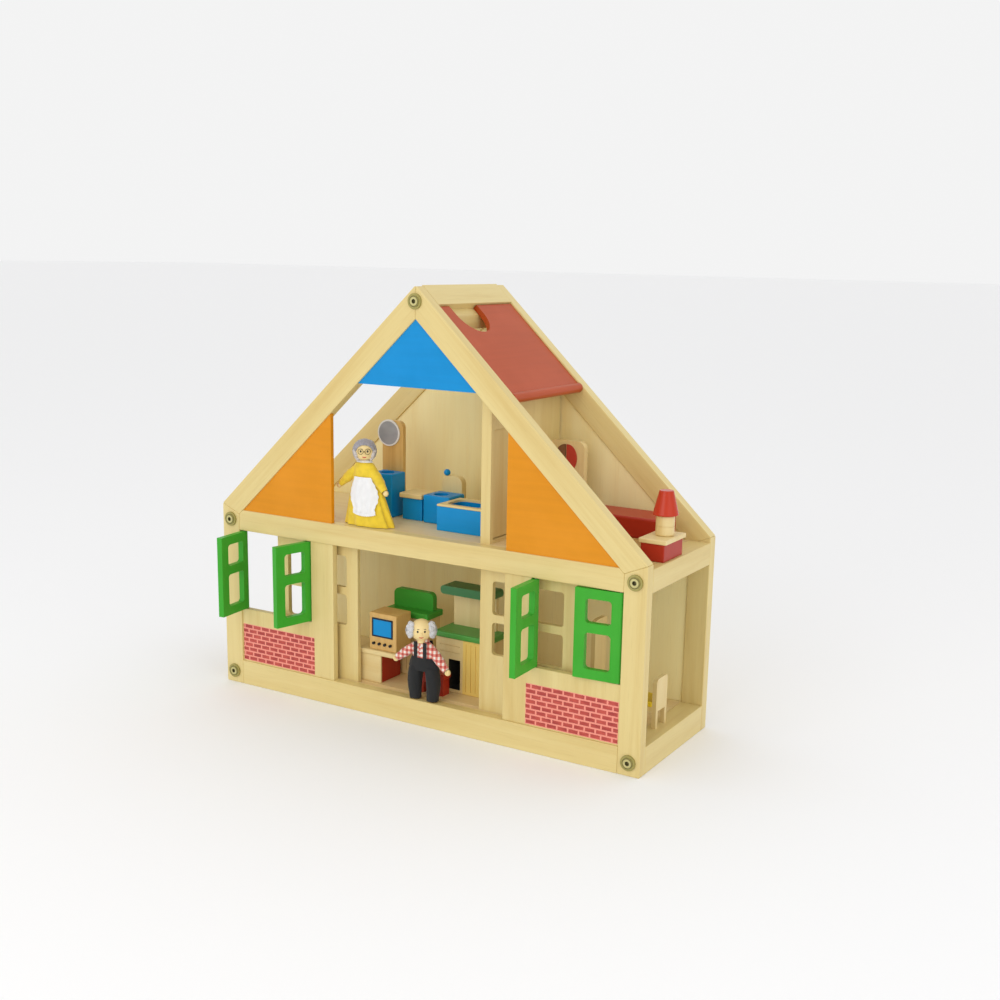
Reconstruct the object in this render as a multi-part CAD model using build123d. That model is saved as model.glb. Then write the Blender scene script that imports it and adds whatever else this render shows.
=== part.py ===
from build123d import *
import math
import os

# A wooden dollhouse: two house-shaped stick frames, front and back, bolted to end beams and a
# ridge beam. Lengths are in millimetres. While it is built, x runs across the front, y runs
# from the front face of the front frame to the back, and z runs up from the ground.

# Frame
WIDTH = 570.0
DEPTH = 180.0
EAVES_HEIGHT = 227.0
RIDGE_HEIGHT = 496.0
STICK_WIDTH = 26.0
FRAME_THICKNESS = 14.0
BOTTOM_RAIL_HEIGHT = 30.0
UPPER_FLOOR_HEIGHT = 221.0
MID_RAIL_HEIGHT = 25.0
EDGE_ROUND = 1.0

# Walls and floors
FLOOR_THICKNESS = 8.0
WALL_THICKNESS = 8.0
WALL_RECESS = 2.0
BACK_WALL_THICKNESS = 5.0
BACK_WALL_RECESS = 2.0
DOORWAY_HALF = 117.0
WINDOW_INNER = 150.0
SILL_HEIGHT = 97.0
CLEAT = 8.0
CORNER_PANEL_EDGE = 118.0
BLUE_PANEL_BOTTOM = 386.0
PAINTED_PANEL_THICKNESS = 5.0
PAINTED_PANEL_RECESS = 2.0

# Sliding doors
DOOR_WIDTH = 121.0
DOOR_THICKNESS = 6.0
DOOR_GAP = 1.0
RIGHT_DOOR_OPEN_EDGE = 78.0
LEFT_DOOR_OPEN_EDGE = 91.0
DOOR_GROOVE_DEPTH = 3.0
DOOR_BOTTOM_GAP = 0.4
DOOR_EDGE_ROUND = 0.8
DOOR_TOP = 202.0
DOOR_STILE = 16.0
DOOR_MULLION = 12.0
PANE_ROWS = ((97.0, 134.0), (143.0, 181.0))
PANE_CORNER = 4.0
GUIDE_THICKNESS = 6.0

# Shutters
SHUTTER_THICKNESS = 7.0
SHUTTER_MID_Y = 4.0
SHUTTER_PIVOT_INSET = 4.5
SHUTTER_MEETING_GAP = 0.4
SHUTTER_END_GAP = 1.0
SHUTTER_STILE = 12.0
SHUTTER_BARS = ((10.5, 50.0), (60.5, 86.5))
SHUTTER_CORNER = 4.0
SHUTTER_OPEN = {
    "left_window_left_shutter": 84.0,
    "left_window_right_shutter": 77.0,
    "right_window_left_shutter": 88.0,
    "right_window_right_shutter": 5.0,
}
PIN_RADIUS = 1.5
PIN_CLEARANCE = 0.05
PIN_IN_FRAME = 6.0
PIN_IN_LEAF = 7.0
PIN_END_GAP = 0.3

# Roof flap
RIDGE_HALF_WIDTH = 21.0
FLAP_TOP_GAP = 0.8
FLAP_HINGE_X = 117.0
FLAP_RECESS = 2.0
FLAP_THICKNESS = 6.0
FLAP_ROD_RADIUS = 5.5
FLAP_END_GAP = 0.6
FLAP_LEDGE = 10.0
FLAP_LEDGE_GAP = 0.4
FLAP_NOTCH_RADIUS = 28.0
FLAP_NOTCH_Y = 63.0
FLAP_NOTCH_STRAIGHT = 12.0
FLAP_PIN_RADIUS = 2.0
FLAP_PIN_REACH = 8.0
RIDGE_BEAM_BOTTOM = 448.0

# Upper partition and its door
PARTITION_X = 84.0
PARTITION_THICKNESS = 12.0
PARTITION_ROOF_GAP = 1.5
PARTITION_DOOR_THICKNESS = 6.0
PARTITION_DOOR_FRONT = 20.0
PARTITION_DOOR_WIDTH = 60.0
PARTITION_DOOR_TOP = 346.0
PARTITION_DOOR_GAP = 1.0
PARTITION_SILL = 4.0
FINGER_HOLE_RADIUS = 3.5
FINGER_HOLE_INSET = 9.0

# Bolts
BOLT_HEAD_RADIUS = 8.5
BOLT_RIM_RADIUS = 6.2
BOLT_HEAD_HEIGHT = 3.2
BOLT_RIM_HEIGHT = 1.9
BOLT_SHANK_RADIUS = 3.0
BOLT_LENGTH = 46.0
BOLT_SOCKET = 5.0
BOLT_SOCKET_DEPTH = 2.4
BOLT_END_GAP = 2.0
BOLT_HOLE_RADIUS = 3.2
BARREL_RADIUS = 5.0
BARREL_LENGTH = 16.0
BARREL_DEPTH = 26.0
BARREL_HOLE_GAP = 0.1
BARREL_DROP = 2.0
BARREL_BORE_LENGTH = 60.0
BOLT_PLACES = ((-272.0, 15.0), (272.0, 15.0), (-272.0, 208.5), (272.0, 208.5), (0.0, 479.0))

# Chairs
CHAIR_SIDE = 28.0
CHAIR_STOCK = 5.0

# What follows from them
HALF = WIDTH / 2
POST_INNER = HALF - STICK_WIDTH
SLOPE = (RIDGE_HEIGHT - EAVES_HEIGHT) / HALF
SLOPE_ANGLE = math.atan(SLOPE)
RAFTER_DROP = STICK_WIDTH / math.cos(SLOPE_ANGLE)
MID_RAIL_BOTTOM = UPPER_FLOOR_HEIGHT - MID_RAIL_HEIGHT
INSIDE_BACK = DEPTH - FRAME_THICKNESS
BACK_WALL_Y = INSIDE_BACK + BACK_WALL_RECESS
DOOR_Y = FRAME_THICKNESS + DOOR_GAP
GUIDE_Y = DOOR_Y + DOOR_THICKNESS + DOOR_GAP


def roof_line(x, drop=0.0):
    """Height of the roof's outer surface at x, lowered by drop."""
    return RIDGE_HEIGHT - drop - SLOPE * abs(x)


def rafter_inner_x(z):
    """Where the rafters' inner edge is at height z."""
    return (RIDGE_HEIGHT - RAFTER_DROP - z) / SLOPE


def on_slope(along, depth):
    """x and z of a point that is along the right slope from the ridge, and depth below it."""
    cosine = math.cos(SLOPE_ANGLE)
    sine = math.sin(SLOPE_ANGLE)
    return along * cosine - depth * sine, RIDGE_HEIGHT - along * sine - depth * cosine


def block(x, y, z):
    """A box from its three (low, high) pairs."""
    size = [high - low for low, high in (x, y, z)]
    middle = [(high + low) / 2 for low, high in (x, y, z)]
    return Pos(*middle) * Box(*size)


def eased(solid, radius=EDGE_ROUND):
    """The solid with all its edges rounded a little."""
    return fillet(solid.edges(), radius)


def eased_block(x, y, z, radius=EDGE_ROUND):
    return eased(block(x, y, z), radius)


def slab_xz(points, y):
    """A plate with an outline in x and z, between two y values."""
    outline = Polyline(*[(px, y[0], pz) for px, pz in points], close=True)
    return extrude(make_face(outline), amount=y[1] - y[0], dir=(0, 1, 0))


def slab_yz(points, x):
    """A plate with an outline in y and z, between two x values."""
    outline = Polyline(*[(x[0], py, pz) for py, pz in points], close=True)
    return extrude(make_face(outline), amount=x[1] - x[0], dir=(1, 0, 0))


def rod(start, end, radius):
    """A round rod between two points."""
    path = Vector(*end) - Vector(*start)
    bottom = (Align.CENTER, Align.CENTER, Align.MIN)
    place = Plane(origin=start, z_dir=path)
    return place * Cylinder(radius, path.length, align=bottom)


def mirrored(solid):
    """The same solid on the other side of the house's middle."""
    return mirror(solid, about=Plane.YZ)


def both_sides(solid):
    return [solid, mirrored(solid)]


def window_cut(x, z, y, corner):
    """A through cut with rounded corners, for a pane."""
    return fillet(block(x, y, z).edges().filter_by(Axis.Y), corner)


# Frame members


def bolt_holes(y):
    """The clearance holes for the five bolts that pass through a frame."""
    return [rod((x, y[0], z), (x, y[1], z), BOLT_HOLE_RADIUS) for x, z in BOLT_PLACES]


def frame_layers():
    """The y spans of the front frame and the back frame."""
    return ((0.0, FRAME_THICKNESS), (INSIDE_BACK, DEPTH))


def shutter_pivots():
    """x of each shutter's pin, by node name."""
    outer = POST_INNER - SHUTTER_PIVOT_INSET
    inner = WINDOW_INNER + SHUTTER_PIVOT_INSET
    return {
        "left_window_left_shutter": -outer,
        "left_window_right_shutter": -inner,
        "right_window_left_shutter": inner,
        "right_window_right_shutter": outer,
    }


def shutter_span():
    """Bottom and top of a shutter."""
    return SILL_HEIGHT + SHUTTER_END_GAP, MID_RAIL_BOTTOM - SHUTTER_END_GAP


def shutter_pins():
    """A pin above and a pin below each shutter, at its pivot."""
    low, high = shutter_span()
    pins = []
    for x in shutter_pivots().values():
        pins.append(rod((x, SHUTTER_MID_Y, SILL_HEIGHT - PIN_IN_FRAME),
                        (x, SHUTTER_MID_Y, low + PIN_IN_LEAF), PIN_RADIUS))
        pins.append(rod((x, SHUTTER_MID_Y, high - PIN_IN_LEAF),
                        (x, SHUTTER_MID_Y, MID_RAIL_BOTTOM + PIN_IN_FRAME), PIN_RADIUS))
    return pins


def flap_axis():
    """x and z of the right roof flap's hinge line."""
    return on_slope(FLAP_HINGE_X / math.cos(SLOPE_ANGLE), FLAP_RECESS + FLAP_THICKNESS / 2)


def flap_pins():
    """Two pins, one at each end of the flap's rod."""
    x, z = flap_axis()
    pins = []
    for y, outward in ((FRAME_THICKNESS, -1), (INSIDE_BACK, 1)):
        pins.append(rod((x, y + outward * FLAP_PIN_REACH, z),
                        (x, y - outward * FLAP_PIN_REACH, z), FLAP_PIN_RADIUS))
    return pins


def partition_door_axis():
    """x and y of the partition door's hinge line."""
    return PARTITION_X, PARTITION_DOOR_FRONT + PARTITION_DOOR_GAP + PARTITION_DOOR_THICKNESS / 2


def partition_door_span():
    low = UPPER_FLOOR_HEIGHT + PARTITION_SILL + PARTITION_DOOR_GAP
    return low, PARTITION_DOOR_TOP - PARTITION_DOOR_GAP


def partition_pins():
    x, y = partition_door_axis()
    low, high = partition_door_span()
    bottom = rod((x, y, low - PARTITION_DOOR_GAP - PARTITION_SILL),
                 (x, y, low + PIN_IN_LEAF), PIN_RADIUS)
    top = rod((x, y, high - PIN_IN_LEAF), (x, y, PARTITION_DOOR_TOP + PIN_IN_FRAME), PIN_RADIUS)
    return [bottom, top]


def posts():
    """Four corner posts, mitred to the rafters at the eaves."""
    made = []
    for layer in frame_layers():
        outline = [(POST_INNER, 0), (HALF, 0), (HALF, EAVES_HEIGHT),
                   (POST_INNER, roof_line(POST_INNER, RAFTER_DROP))]
        post = eased(slab_xz(outline, layer))
        for hole in bolt_holes(layer):
            post -= hole
        made += both_sides(post)
    return made


def bottom_rails():
    return [eased_block((-POST_INNER, POST_INNER), layer, (0, BOTTOM_RAIL_HEIGHT))
            for layer in frame_layers()]


def mid_rails():
    """Two rails at the upper floor, with corners trimmed under the rafters."""
    made = []
    for layer in frame_layers():
        top_x = rafter_inner_x(UPPER_FLOOR_HEIGHT)
        side_z = roof_line(POST_INNER, RAFTER_DROP)
        outline = [(-POST_INNER, MID_RAIL_BOTTOM), (POST_INNER, MID_RAIL_BOTTOM),
                   (POST_INNER, side_z), (top_x, UPPER_FLOOR_HEIGHT),
                   (-top_x, UPPER_FLOOR_HEIGHT), (-POST_INNER, side_z)]
        rail = eased(slab_xz(outline, layer))
        for pin in shutter_pins():
            rail -= pin
        made.append(rail)
    return made


def rafters():
    """Four rafters, mitred together at the ridge."""
    made = []
    for layer in frame_layers():
        outline = [(0, RIDGE_HEIGHT), (HALF, EAVES_HEIGHT),
                   (POST_INNER, roof_line(POST_INNER, RAFTER_DROP)),
                   (0, RIDGE_HEIGHT - RAFTER_DROP)]
        rafter = eased(slab_xz(outline, layer))
        for side in both_sides(rafter):
            made.append(cut_all(side, bolt_holes(layer) + flap_pins()))
    return made


def bolts_and_barrels():
    """The bolts with ringed heads, and the cross barrels they screw into."""
    bolts = []
    barrels = []
    for face, inward in ((0.0, 1), (DEPTH, -1)):
        nut_y = face + inward * (FRAME_THICKNESS + BARREL_DEPTH)
        for x, z in BOLT_PLACES:
            rim = rod((x, face, z), (x, face - inward * BOLT_RIM_HEIGHT, z), BOLT_HEAD_RADIUS)
            dome = rod((x, face, z), (x, face - inward * BOLT_HEAD_HEIGHT, z), BOLT_RIM_RADIUS)
            shank = rod((x, face, z), (x, face + inward * BOLT_LENGTH, z), BOLT_SHANK_RADIUS)
            socket_plane = Plane(origin=(x, face - inward * BOLT_HEAD_HEIGHT, z),
                                 z_dir=(0, inward, 0))
            socket = extrude(socket_plane * RegularPolygon(BOLT_SOCKET / 2, 6), amount=BOLT_SOCKET_DEPTH)
            bolts.append(rim + dome + shank - socket)
            top = z + BARREL_LENGTH / 2 - BARREL_DROP
            barrel = rod((x, nut_y, top - BARREL_LENGTH), (x, nut_y, top), BARREL_RADIUS)
            thread = rod((x, face, z), (x, face + inward * BOLT_LENGTH * 2, z), BOLT_HOLE_RADIUS)
            barrels.append(barrel - thread)
    return bolts, barrels


def beam_bores():
    """Bolt bores and barrel bores that the beams need."""
    bores = []
    for face, inward in ((0.0, 1), (DEPTH, -1)):
        nut_y = face + inward * (FRAME_THICKNESS + BARREL_DEPTH)
        for x, z in BOLT_PLACES:
            end_y = face + inward * (BOLT_LENGTH + BOLT_END_GAP)
            bores.append(rod((x, face, z), (x, end_y, z), BOLT_HOLE_RADIUS))
            top = z + BARREL_LENGTH / 2 - BARREL_DROP
            bores.append(rod((x, nut_y, top - BARREL_BORE_LENGTH), (x, nut_y, top),
                             BARREL_RADIUS + BARREL_HOLE_GAP))
    return bores


def end_beams():
    """Four beams that join the front posts to the back posts."""
    made = []
    for low, high in ((0, BOTTOM_RAIL_HEIGHT), (MID_RAIL_BOTTOM, UPPER_FLOOR_HEIGHT)):
        beam = eased_block((POST_INNER, HALF), (FRAME_THICKNESS, INSIDE_BACK), (low, high))
        made += both_sides(beam)
    bores = beam_bores()
    return [cut_all(beam, bores) for beam in made]


def cut_all(solid, tools):
    """The solid less every tool that comes near it."""
    reach = solid.bounding_box()
    for tool in tools:
        if tool.bounding_box().overlaps(reach):
            solid -= tool
    return solid


def ridge_beam():
    """The ridge beam, with a ledge on its right side for the roof flap to rest on."""
    top = RIDGE_HALF_WIDTH / math.cos(SLOPE_ANGLE)
    ledge_depth = FLAP_RECESS + FLAP_THICKNESS + FLAP_LEDGE_GAP
    ledge_end = on_slope(top + FLAP_LEDGE, ledge_depth)
    side = [on_slope(top, 0), on_slope(top, ledge_depth), ledge_end,
            (ledge_end[0], RIDGE_BEAM_BOTTOM)]
    other = [(-ledge_end[0], RIDGE_BEAM_BOTTOM), (-ledge_end[0], roof_line(ledge_end[0]))]
    outline = [(0, RIDGE_HEIGHT)] + side + other
    beam = slab_xz(outline, (FRAME_THICKNESS, INSIDE_BACK))
    return cut_all(beam, beam_bores())


# Floors and walls


def floors():
    """The ground floor, with the doors' groove, and the upper floor."""
    across = (-POST_INNER, POST_INNER)
    deep = (FRAME_THICKNESS, INSIDE_BACK)
    ground = block(across, deep, (BOTTOM_RAIL_HEIGHT - FLOOR_THICKNESS, BOTTOM_RAIL_HEIGHT))
    groove = block(across, (DOOR_Y - DOOR_GAP / 2, DOOR_Y + DOOR_THICKNESS + DOOR_GAP / 2),
                   (BOTTOM_RAIL_HEIGHT - DOOR_GROOVE_DEPTH, BOTTOM_RAIL_HEIGHT + 1))
    upper = block(across, deep, (UPPER_FLOOR_HEIGHT - FLOOR_THICKNESS, UPPER_FLOOR_HEIGHT))
    return [ground - groove, upper]


def floor_cleats():
    """Strips under the floors' edges."""
    across = (-POST_INNER, POST_INNER)
    front = (FRAME_THICKNESS, FRAME_THICKNESS + CLEAT)
    back = (INSIDE_BACK - CLEAT, INSIDE_BACK)
    ground = BOTTOM_RAIL_HEIGHT - FLOOR_THICKNESS
    upper = UPPER_FLOOR_HEIGHT - FLOOR_THICKNESS
    return [block(across, front, (ground - CLEAT, ground)),
            block(across, back, (ground - CLEAT, ground)),
            block(across, back, (upper - CLEAT, upper))]


def back_wall_panels():
    """The ground-floor back wall and the gable back wall, set inside the back frame."""
    layer = (BACK_WALL_Y, BACK_WALL_Y + BACK_WALL_THICKNESS)
    lower = block((-POST_INNER, POST_INNER), layer, (BOTTOM_RAIL_HEIGHT, MID_RAIL_BOTTOM))
    side = rafter_inner_x(UPPER_FLOOR_HEIGHT)
    outline = [(-side, UPPER_FLOOR_HEIGHT), (side, UPPER_FLOOR_HEIGHT),
               (0, RIDGE_HEIGHT - RAFTER_DROP)]
    return [lower, slab_xz(outline, layer)]


def front_panels():
    """The two L-shaped front walls, under the windows and beside the doorway."""
    outline = [(DOORWAY_HALF, BOTTOM_RAIL_HEIGHT), (POST_INNER, BOTTOM_RAIL_HEIGHT),
               (POST_INNER, SILL_HEIGHT), (WINDOW_INNER, SILL_HEIGHT),
               (WINDOW_INNER, MID_RAIL_BOTTOM), (DOORWAY_HALF, MID_RAIL_BOTTOM)]
    layer = (WALL_RECESS, WALL_RECESS + WALL_THICKNESS)
    panel = eased(slab_xz(outline, layer), EDGE_ROUND / 2)
    return [cut_all(side, shutter_pins()) for side in both_sides(panel)]


def painted_layer():
    return PAINTED_PANEL_RECESS, PAINTED_PANEL_RECESS + PAINTED_PANEL_THICKNESS


def blue_gable_panel():
    side = rafter_inner_x(BLUE_PANEL_BOTTOM)
    outline = [(-side, BLUE_PANEL_BOTTOM), (side, BLUE_PANEL_BOTTOM),
               (0, RIDGE_HEIGHT - RAFTER_DROP)]
    return slab_xz(outline, painted_layer())


def orange_corner_panels():
    """The painted triangles in the gable's lower corners."""
    corner = [(CORNER_PANEL_EDGE, UPPER_FLOOR_HEIGHT),
              (rafter_inner_x(UPPER_FLOOR_HEIGHT), UPPER_FLOOR_HEIGHT),
              (CORNER_PANEL_EDGE, roof_line(CORNER_PANEL_EDGE, RAFTER_DROP))]
    return both_sides(slab_xz(corner, painted_layer()))


def partition():
    """The upper wall between the two rooms, with a doorway."""
    low_x = PARTITION_X - PARTITION_THICKNESS / 2
    high_x = PARTITION_X + PARTITION_THICKNESS / 2
    drop = (FLAP_RECESS + FLAP_THICKNESS) / math.cos(SLOPE_ANGLE) + PARTITION_ROOF_GAP
    outline = [(low_x, UPPER_FLOOR_HEIGHT), (high_x, UPPER_FLOOR_HEIGHT),
               (high_x, roof_line(high_x, drop)), (low_x, roof_line(low_x, drop))]
    wall = slab_xz(outline, (FRAME_THICKNESS, INSIDE_BACK))
    doorway = block((low_x - 1, high_x + 1),
                    (PARTITION_DOOR_FRONT, PARTITION_DOOR_FRONT + PARTITION_DOOR_WIDTH),
                    (UPPER_FLOOR_HEIGHT + PARTITION_SILL, PARTITION_DOOR_TOP))
    return cut_all(wall - doorway, partition_pins())


def door_guide():
    """The strip that holds the sliding doors' tops behind the front mid rail."""
    return block((-POST_INNER, POST_INNER), (GUIDE_Y, GUIDE_Y + GUIDE_THICKNESS),
                 (MID_RAIL_BOTTOM, UPPER_FLOOR_HEIGHT - FLOOR_THICKNESS))


# Moving pieces of the house


def sliding_door(left):
    """A sliding door with its inner edge at left, with two by two rounded panes."""
    right = left + DOOR_WIDTH
    low = BOTTOM_RAIL_HEIGHT - DOOR_GROOVE_DEPTH + DOOR_BOTTOM_GAP
    y = (DOOR_Y, DOOR_Y + DOOR_THICKNESS)
    door = eased_block((left, right), y, (low, DOOR_TOP), DOOR_EDGE_ROUND)
    pane_width = (DOOR_WIDTH - 2 * DOOR_STILE - DOOR_MULLION) / 2
    for column in range(2):
        start = left + DOOR_STILE + column * (pane_width + DOOR_MULLION)
        for row in PANE_ROWS:
            door -= window_cut((start, start + pane_width), row, (y[0] - 1, y[1] + 1), PANE_CORNER)
    return door


def shutter_leaf(name):
    """One shutter with its two openings, turned to the place where it stands open."""
    pivot = shutter_pivots()[name]
    inward = 1 if "left_shutter" in name else -1
    low, high = shutter_span()
    reach = (POST_INNER - WINDOW_INNER) / 2 - SHUTTER_PIVOT_INSET - SHUTTER_MEETING_GAP
    half = SHUTTER_THICKNESS / 2
    ends = sorted((0, inward * reach))
    leaf = block(ends, (-half, half), (low, high)) + rod((0, 0, low), (0, 0, high), half)
    middle = inward * (reach - half) / 2
    half_opening = (reach + half) / 2 - SHUTTER_STILE
    for bottom, top in SHUTTER_BARS:
        leaf -= window_cut((middle - half_opening, middle + half_opening),
                           (low + bottom, low + top), (-half - 1, half + 1), SHUTTER_CORNER)
    bore = PIN_RADIUS + PIN_CLEARANCE
    leaf -= rod((0, 0, low), (0, 0, low + PIN_IN_LEAF + PIN_END_GAP), bore)
    leaf -= rod((0, 0, high - PIN_IN_LEAF - PIN_END_GAP), (0, 0, high), bore)
    swing = -inward * SHUTTER_OPEN[name]
    return Pos(pivot, SHUTTER_MID_Y, 0) * Rot(0, 0, swing) * leaf


def finger_notch(top):
    """A round-ended notch that runs down the slope from the flap's top edge."""
    centre = top + FLAP_NOTCH_STRAIGHT
    above_x, above_z = on_slope(centre, -FLAP_THICKNESS)
    below_x, below_z = on_slope(centre, 3 * FLAP_THICKNESS)
    low_y = FLAP_NOTCH_Y - FLAP_NOTCH_RADIUS
    high_y = FLAP_NOTCH_Y + FLAP_NOTCH_RADIUS
    round_end = rod((above_x, FLAP_NOTCH_Y, above_z), (below_x, FLAP_NOTCH_Y, below_z),
                    FLAP_NOTCH_RADIUS)
    mouth = [on_slope(top - FLAP_THICKNESS, -FLAP_THICKNESS), on_slope(centre, -FLAP_THICKNESS),
             on_slope(centre, 3 * FLAP_THICKNESS), on_slope(top - FLAP_THICKNESS, 3 * FLAP_THICKNESS)]
    return round_end + slab_xz(mouth, (low_y, high_y))


def roof_flap():
    """The roof flap: a panel on a hinge rod, with a finger notch at the ridge."""
    hinge_x, hinge_z = flap_axis()
    y = (FRAME_THICKNESS + FLAP_END_GAP, INSIDE_BACK - FLAP_END_GAP)
    top = RIDGE_HALF_WIDTH / math.cos(SLOPE_ANGLE) + FLAP_TOP_GAP
    bottom = FLAP_HINGE_X / math.cos(SLOPE_ANGLE)
    under = FLAP_RECESS + FLAP_THICKNESS
    outline = [on_slope(top, FLAP_RECESS), on_slope(bottom, FLAP_RECESS),
               on_slope(bottom, under), on_slope(top, under)]
    panel = slab_xz(outline, y)
    panel = fillet(panel.edges().filter_by(Axis.Y), EDGE_ROUND) - finger_notch(top)
    flap = panel + rod((hinge_x, y[0], hinge_z), (hinge_x, y[1], hinge_z), FLAP_ROD_RADIUS)
    bore = FLAP_PIN_RADIUS + PIN_CLEARANCE
    reach = FLAP_PIN_REACH + PIN_END_GAP
    flap -= rod((hinge_x, y[0] - 1, hinge_z), (hinge_x, y[0] + reach, hinge_z), bore)
    flap -= rod((hinge_x, y[1] - reach, hinge_z), (hinge_x, y[1] + 1, hinge_z), bore)
    return flap


def partition_door():
    """The swinging door in the upper partition, closed, with a small round finger hole."""
    x, y = partition_door_axis()
    low, high = partition_door_span()
    half = PARTITION_DOOR_THICKNESS / 2
    back = PARTITION_DOOR_FRONT + PARTITION_DOOR_WIDTH - PARTITION_DOOR_GAP
    door = block((x - half, x + half), (y, back), (low, high)) + rod((x, y, low), (x, y, high), half)
    middle_z = (low + high) / 2
    hole_y = back - FINGER_HOLE_INSET
    door -= rod((x - half - 1, hole_y, middle_z), (x + half + 1, hole_y, middle_z), FINGER_HOLE_RADIUS)
    bore = PIN_RADIUS + PIN_CLEARANCE
    door -= rod((x, y, low - 1), (x, y, low + PIN_IN_LEAF + PIN_END_GAP), bore)
    door -= rod((x, y, high - PIN_IN_LEAF - PIN_END_GAP), (x, y, high + 1), bore)
    return door


# Furniture: each function returns its nodes, standing on the floor it is given


GROUND = BOTTOM_RAIL_HEIGHT
UPPER = UPPER_FLOOR_HEIGHT
CHEST_TOP = UPPER + 24.0
TV_CABINET_TOP = GROUND + 40.0


def bathtub(x=0.0, y=44.0):
    """A tub with a rounded basin, a rim on it and a tap at the back."""
    length, depth, height, rim = 63.0, 48.0, 28.0, 2.5
    wall, bottom, corner, ease = 7.0, 6.0, 9.0, 0.8
    tap_x, tap_inset, tap_height, tap_radius, knob_radius = 44.0, 3.5, 7.0, 2.2, 3.0
    lip = UPPER + height
    top_z = lip + rim
    inside_x = (x + wall, x + length - wall)
    inside_y = (y + wall, y + depth - wall)
    outer = eased_block((x, x + length), (y, y + depth), (UPPER, lip), ease)
    hollow = block(inside_x, inside_y, (UPPER + bottom, lip + 1))
    top = eased_block((x, x + length), (y, y + depth), (lip, top_z), ease)
    cut = block(inside_x, inside_y, (lip - 1, top_z + 1))
    opening = fillet(cut.edges().filter_by(Axis.Z), corner)
    basin = fillet(hollow.edges().filter_by(Axis.Z), corner)
    tap_y = y + depth - tap_inset
    tap = rod((x + tap_x, tap_y, top_z), (x + tap_x, tap_y, top_z + tap_height), tap_radius)
    knob = ball((x + tap_x, tap_y, top_z + tap_height + 1), knob_radius)
    return {"bathtub_block": [outer - basin], "bathtub_rim": [(top - opening) + tap + knob]}


def toilet(x=-37.0, y=70.0):
    """A block seat with a round bowl, and a round-topped cistern with a ball on it."""
    width, depth, height, cistern_height = 36.5, 34.0, 33.0, 52.0
    bowl_radius, bowl_depth, corner, ball_radius = 9.0, 11.0, 9.0, 4.0
    seat = eased_block((x, x + width), (y, y + depth), (UPPER, UPPER + height), 2)
    bowl = rod((x + 16, y + 15, UPPER + height - bowl_depth),
               (x + 16, y + 15, UPPER + height + 1), bowl_radius)
    cistern = block((x + 4, x + 32), (y + depth + 0.2, y + depth + 10),
                    (UPPER, UPPER + cistern_height))
    rounded = fillet(cistern.edges().filter_by(Axis.Y).group_by(Axis.Z)[-1], corner)
    button = ball((x + 8, y + depth + 5, UPPER + cistern_height + 3), ball_radius)
    return {"toilet_seat": [seat - bowl, button - rounded], "toilet_cistern": [top_chamfered(rounded)]}


def top_chamfered(solid):
    """A plate that already has round corners, with the edges of its top eased."""
    return chamfer(solid.edges().group_by(Axis.Z)[-1], 0.5)


def low_cabinet(x=-69.0, y=74.0):
    """A small box under an overhanging top."""
    width, depth, height, top_thickness, overhang = 28.0, 30.0, 26.0, 6.0, 3.0
    lid = UPPER + height
    box = eased_block((x, x + width), (y, y + depth), (UPPER, lid))
    top = eased_block((x - overhang, x + width + 1), (y - overhang, y + depth + 1),
                      (lid, lid + top_thickness), 1.5)
    return {"low_cabinet_box": [box], "low_cabinet_top": [top]}


def washbasin(x=-113.0, y=69.0):
    """A cabinet with a round bowl, a tall board behind it and a round mirror on the board."""
    width, depth, height, board_height = 32.0, 28.0, 52.0, 112.0
    bowl_radius, bowl_depth, mirror_radius, mirror_thickness = 9.0, 7.0, 16.0, 2.0
    cabinet = eased_block((x, x + width), (y, y + depth), (UPPER, UPPER + height), 1.5)
    bowl = rod((x + width / 2, y + 13, UPPER + height - bowl_depth),
               (x + width / 2, y + 13, UPPER + height + 1), bowl_radius)
    board_y = y + depth + 0.2
    board = block((x - 2, x + 28), (board_y, y + 34), (UPPER, UPPER + board_height))
    rounded = fillet(board.edges().filter_by(Axis.Y).group_by(Axis.Z)[-1], 8)
    glass_x, glass_z = x + 8, UPPER + board_height - mirror_radius + 1
    glass = rod((glass_x, board_y, glass_z), (glass_x, board_y - mirror_thickness, glass_z),
                mirror_radius)
    return {"washbasin_cabinet": [cabinet - bowl], "washbasin_board": [rounded],
            "washbasin_mirror": [fillet(glass.edges(), 0.6)]}


def dresser(x=93.0, y=106.0):
    """A red box with a tall round-cornered board behind it."""
    width, depth, height, board_thickness, corner = 46.0, 30.0, 103.0, 7.8, 9.0
    box = eased_block((x, x + width), (y, y + depth), (UPPER, UPPER + 40), 1.5)
    board_y = y + depth + 0.2
    board = block((x, x + width), (board_y, board_y + board_thickness), (UPPER, UPPER + height))
    board = fillet(board.edges().filter_by(Axis.Y).group_by(Axis.Z)[-1], corner)
    return {"dresser_box": [box], "dresser_board": [board]}


def bed(x=154.0, y=96.0):
    """A low base with a thick red top."""
    length, depth, base_height, height, inset = 98.0, 48.0, 10.0, 33.0, 2.0
    base = eased_block((x, x + length), (y + inset, y + depth - inset), (UPPER, UPPER + base_height))
    red = eased_block((x, x + length), (y, y + depth), (UPPER + base_height, UPPER + height), 2.5)
    return {"bed_base": [base], "bed_mattress": [red]}


def chest(x=252.5, y=44.0):
    """A low red chest under a wooden top."""
    width, depth, height, inset = 32.0, 52.0, 19.0, 2.0
    lid = UPPER + height
    box = eased_block((x + inset, x + width - 3), (y + inset, y + depth - inset), (UPPER, lid))
    top = eased_block((x, x + width), (y, y + depth), (lid, CHEST_TOP), 1.2)
    return {"chest_box": [box], "chest_top": [top]}


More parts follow.
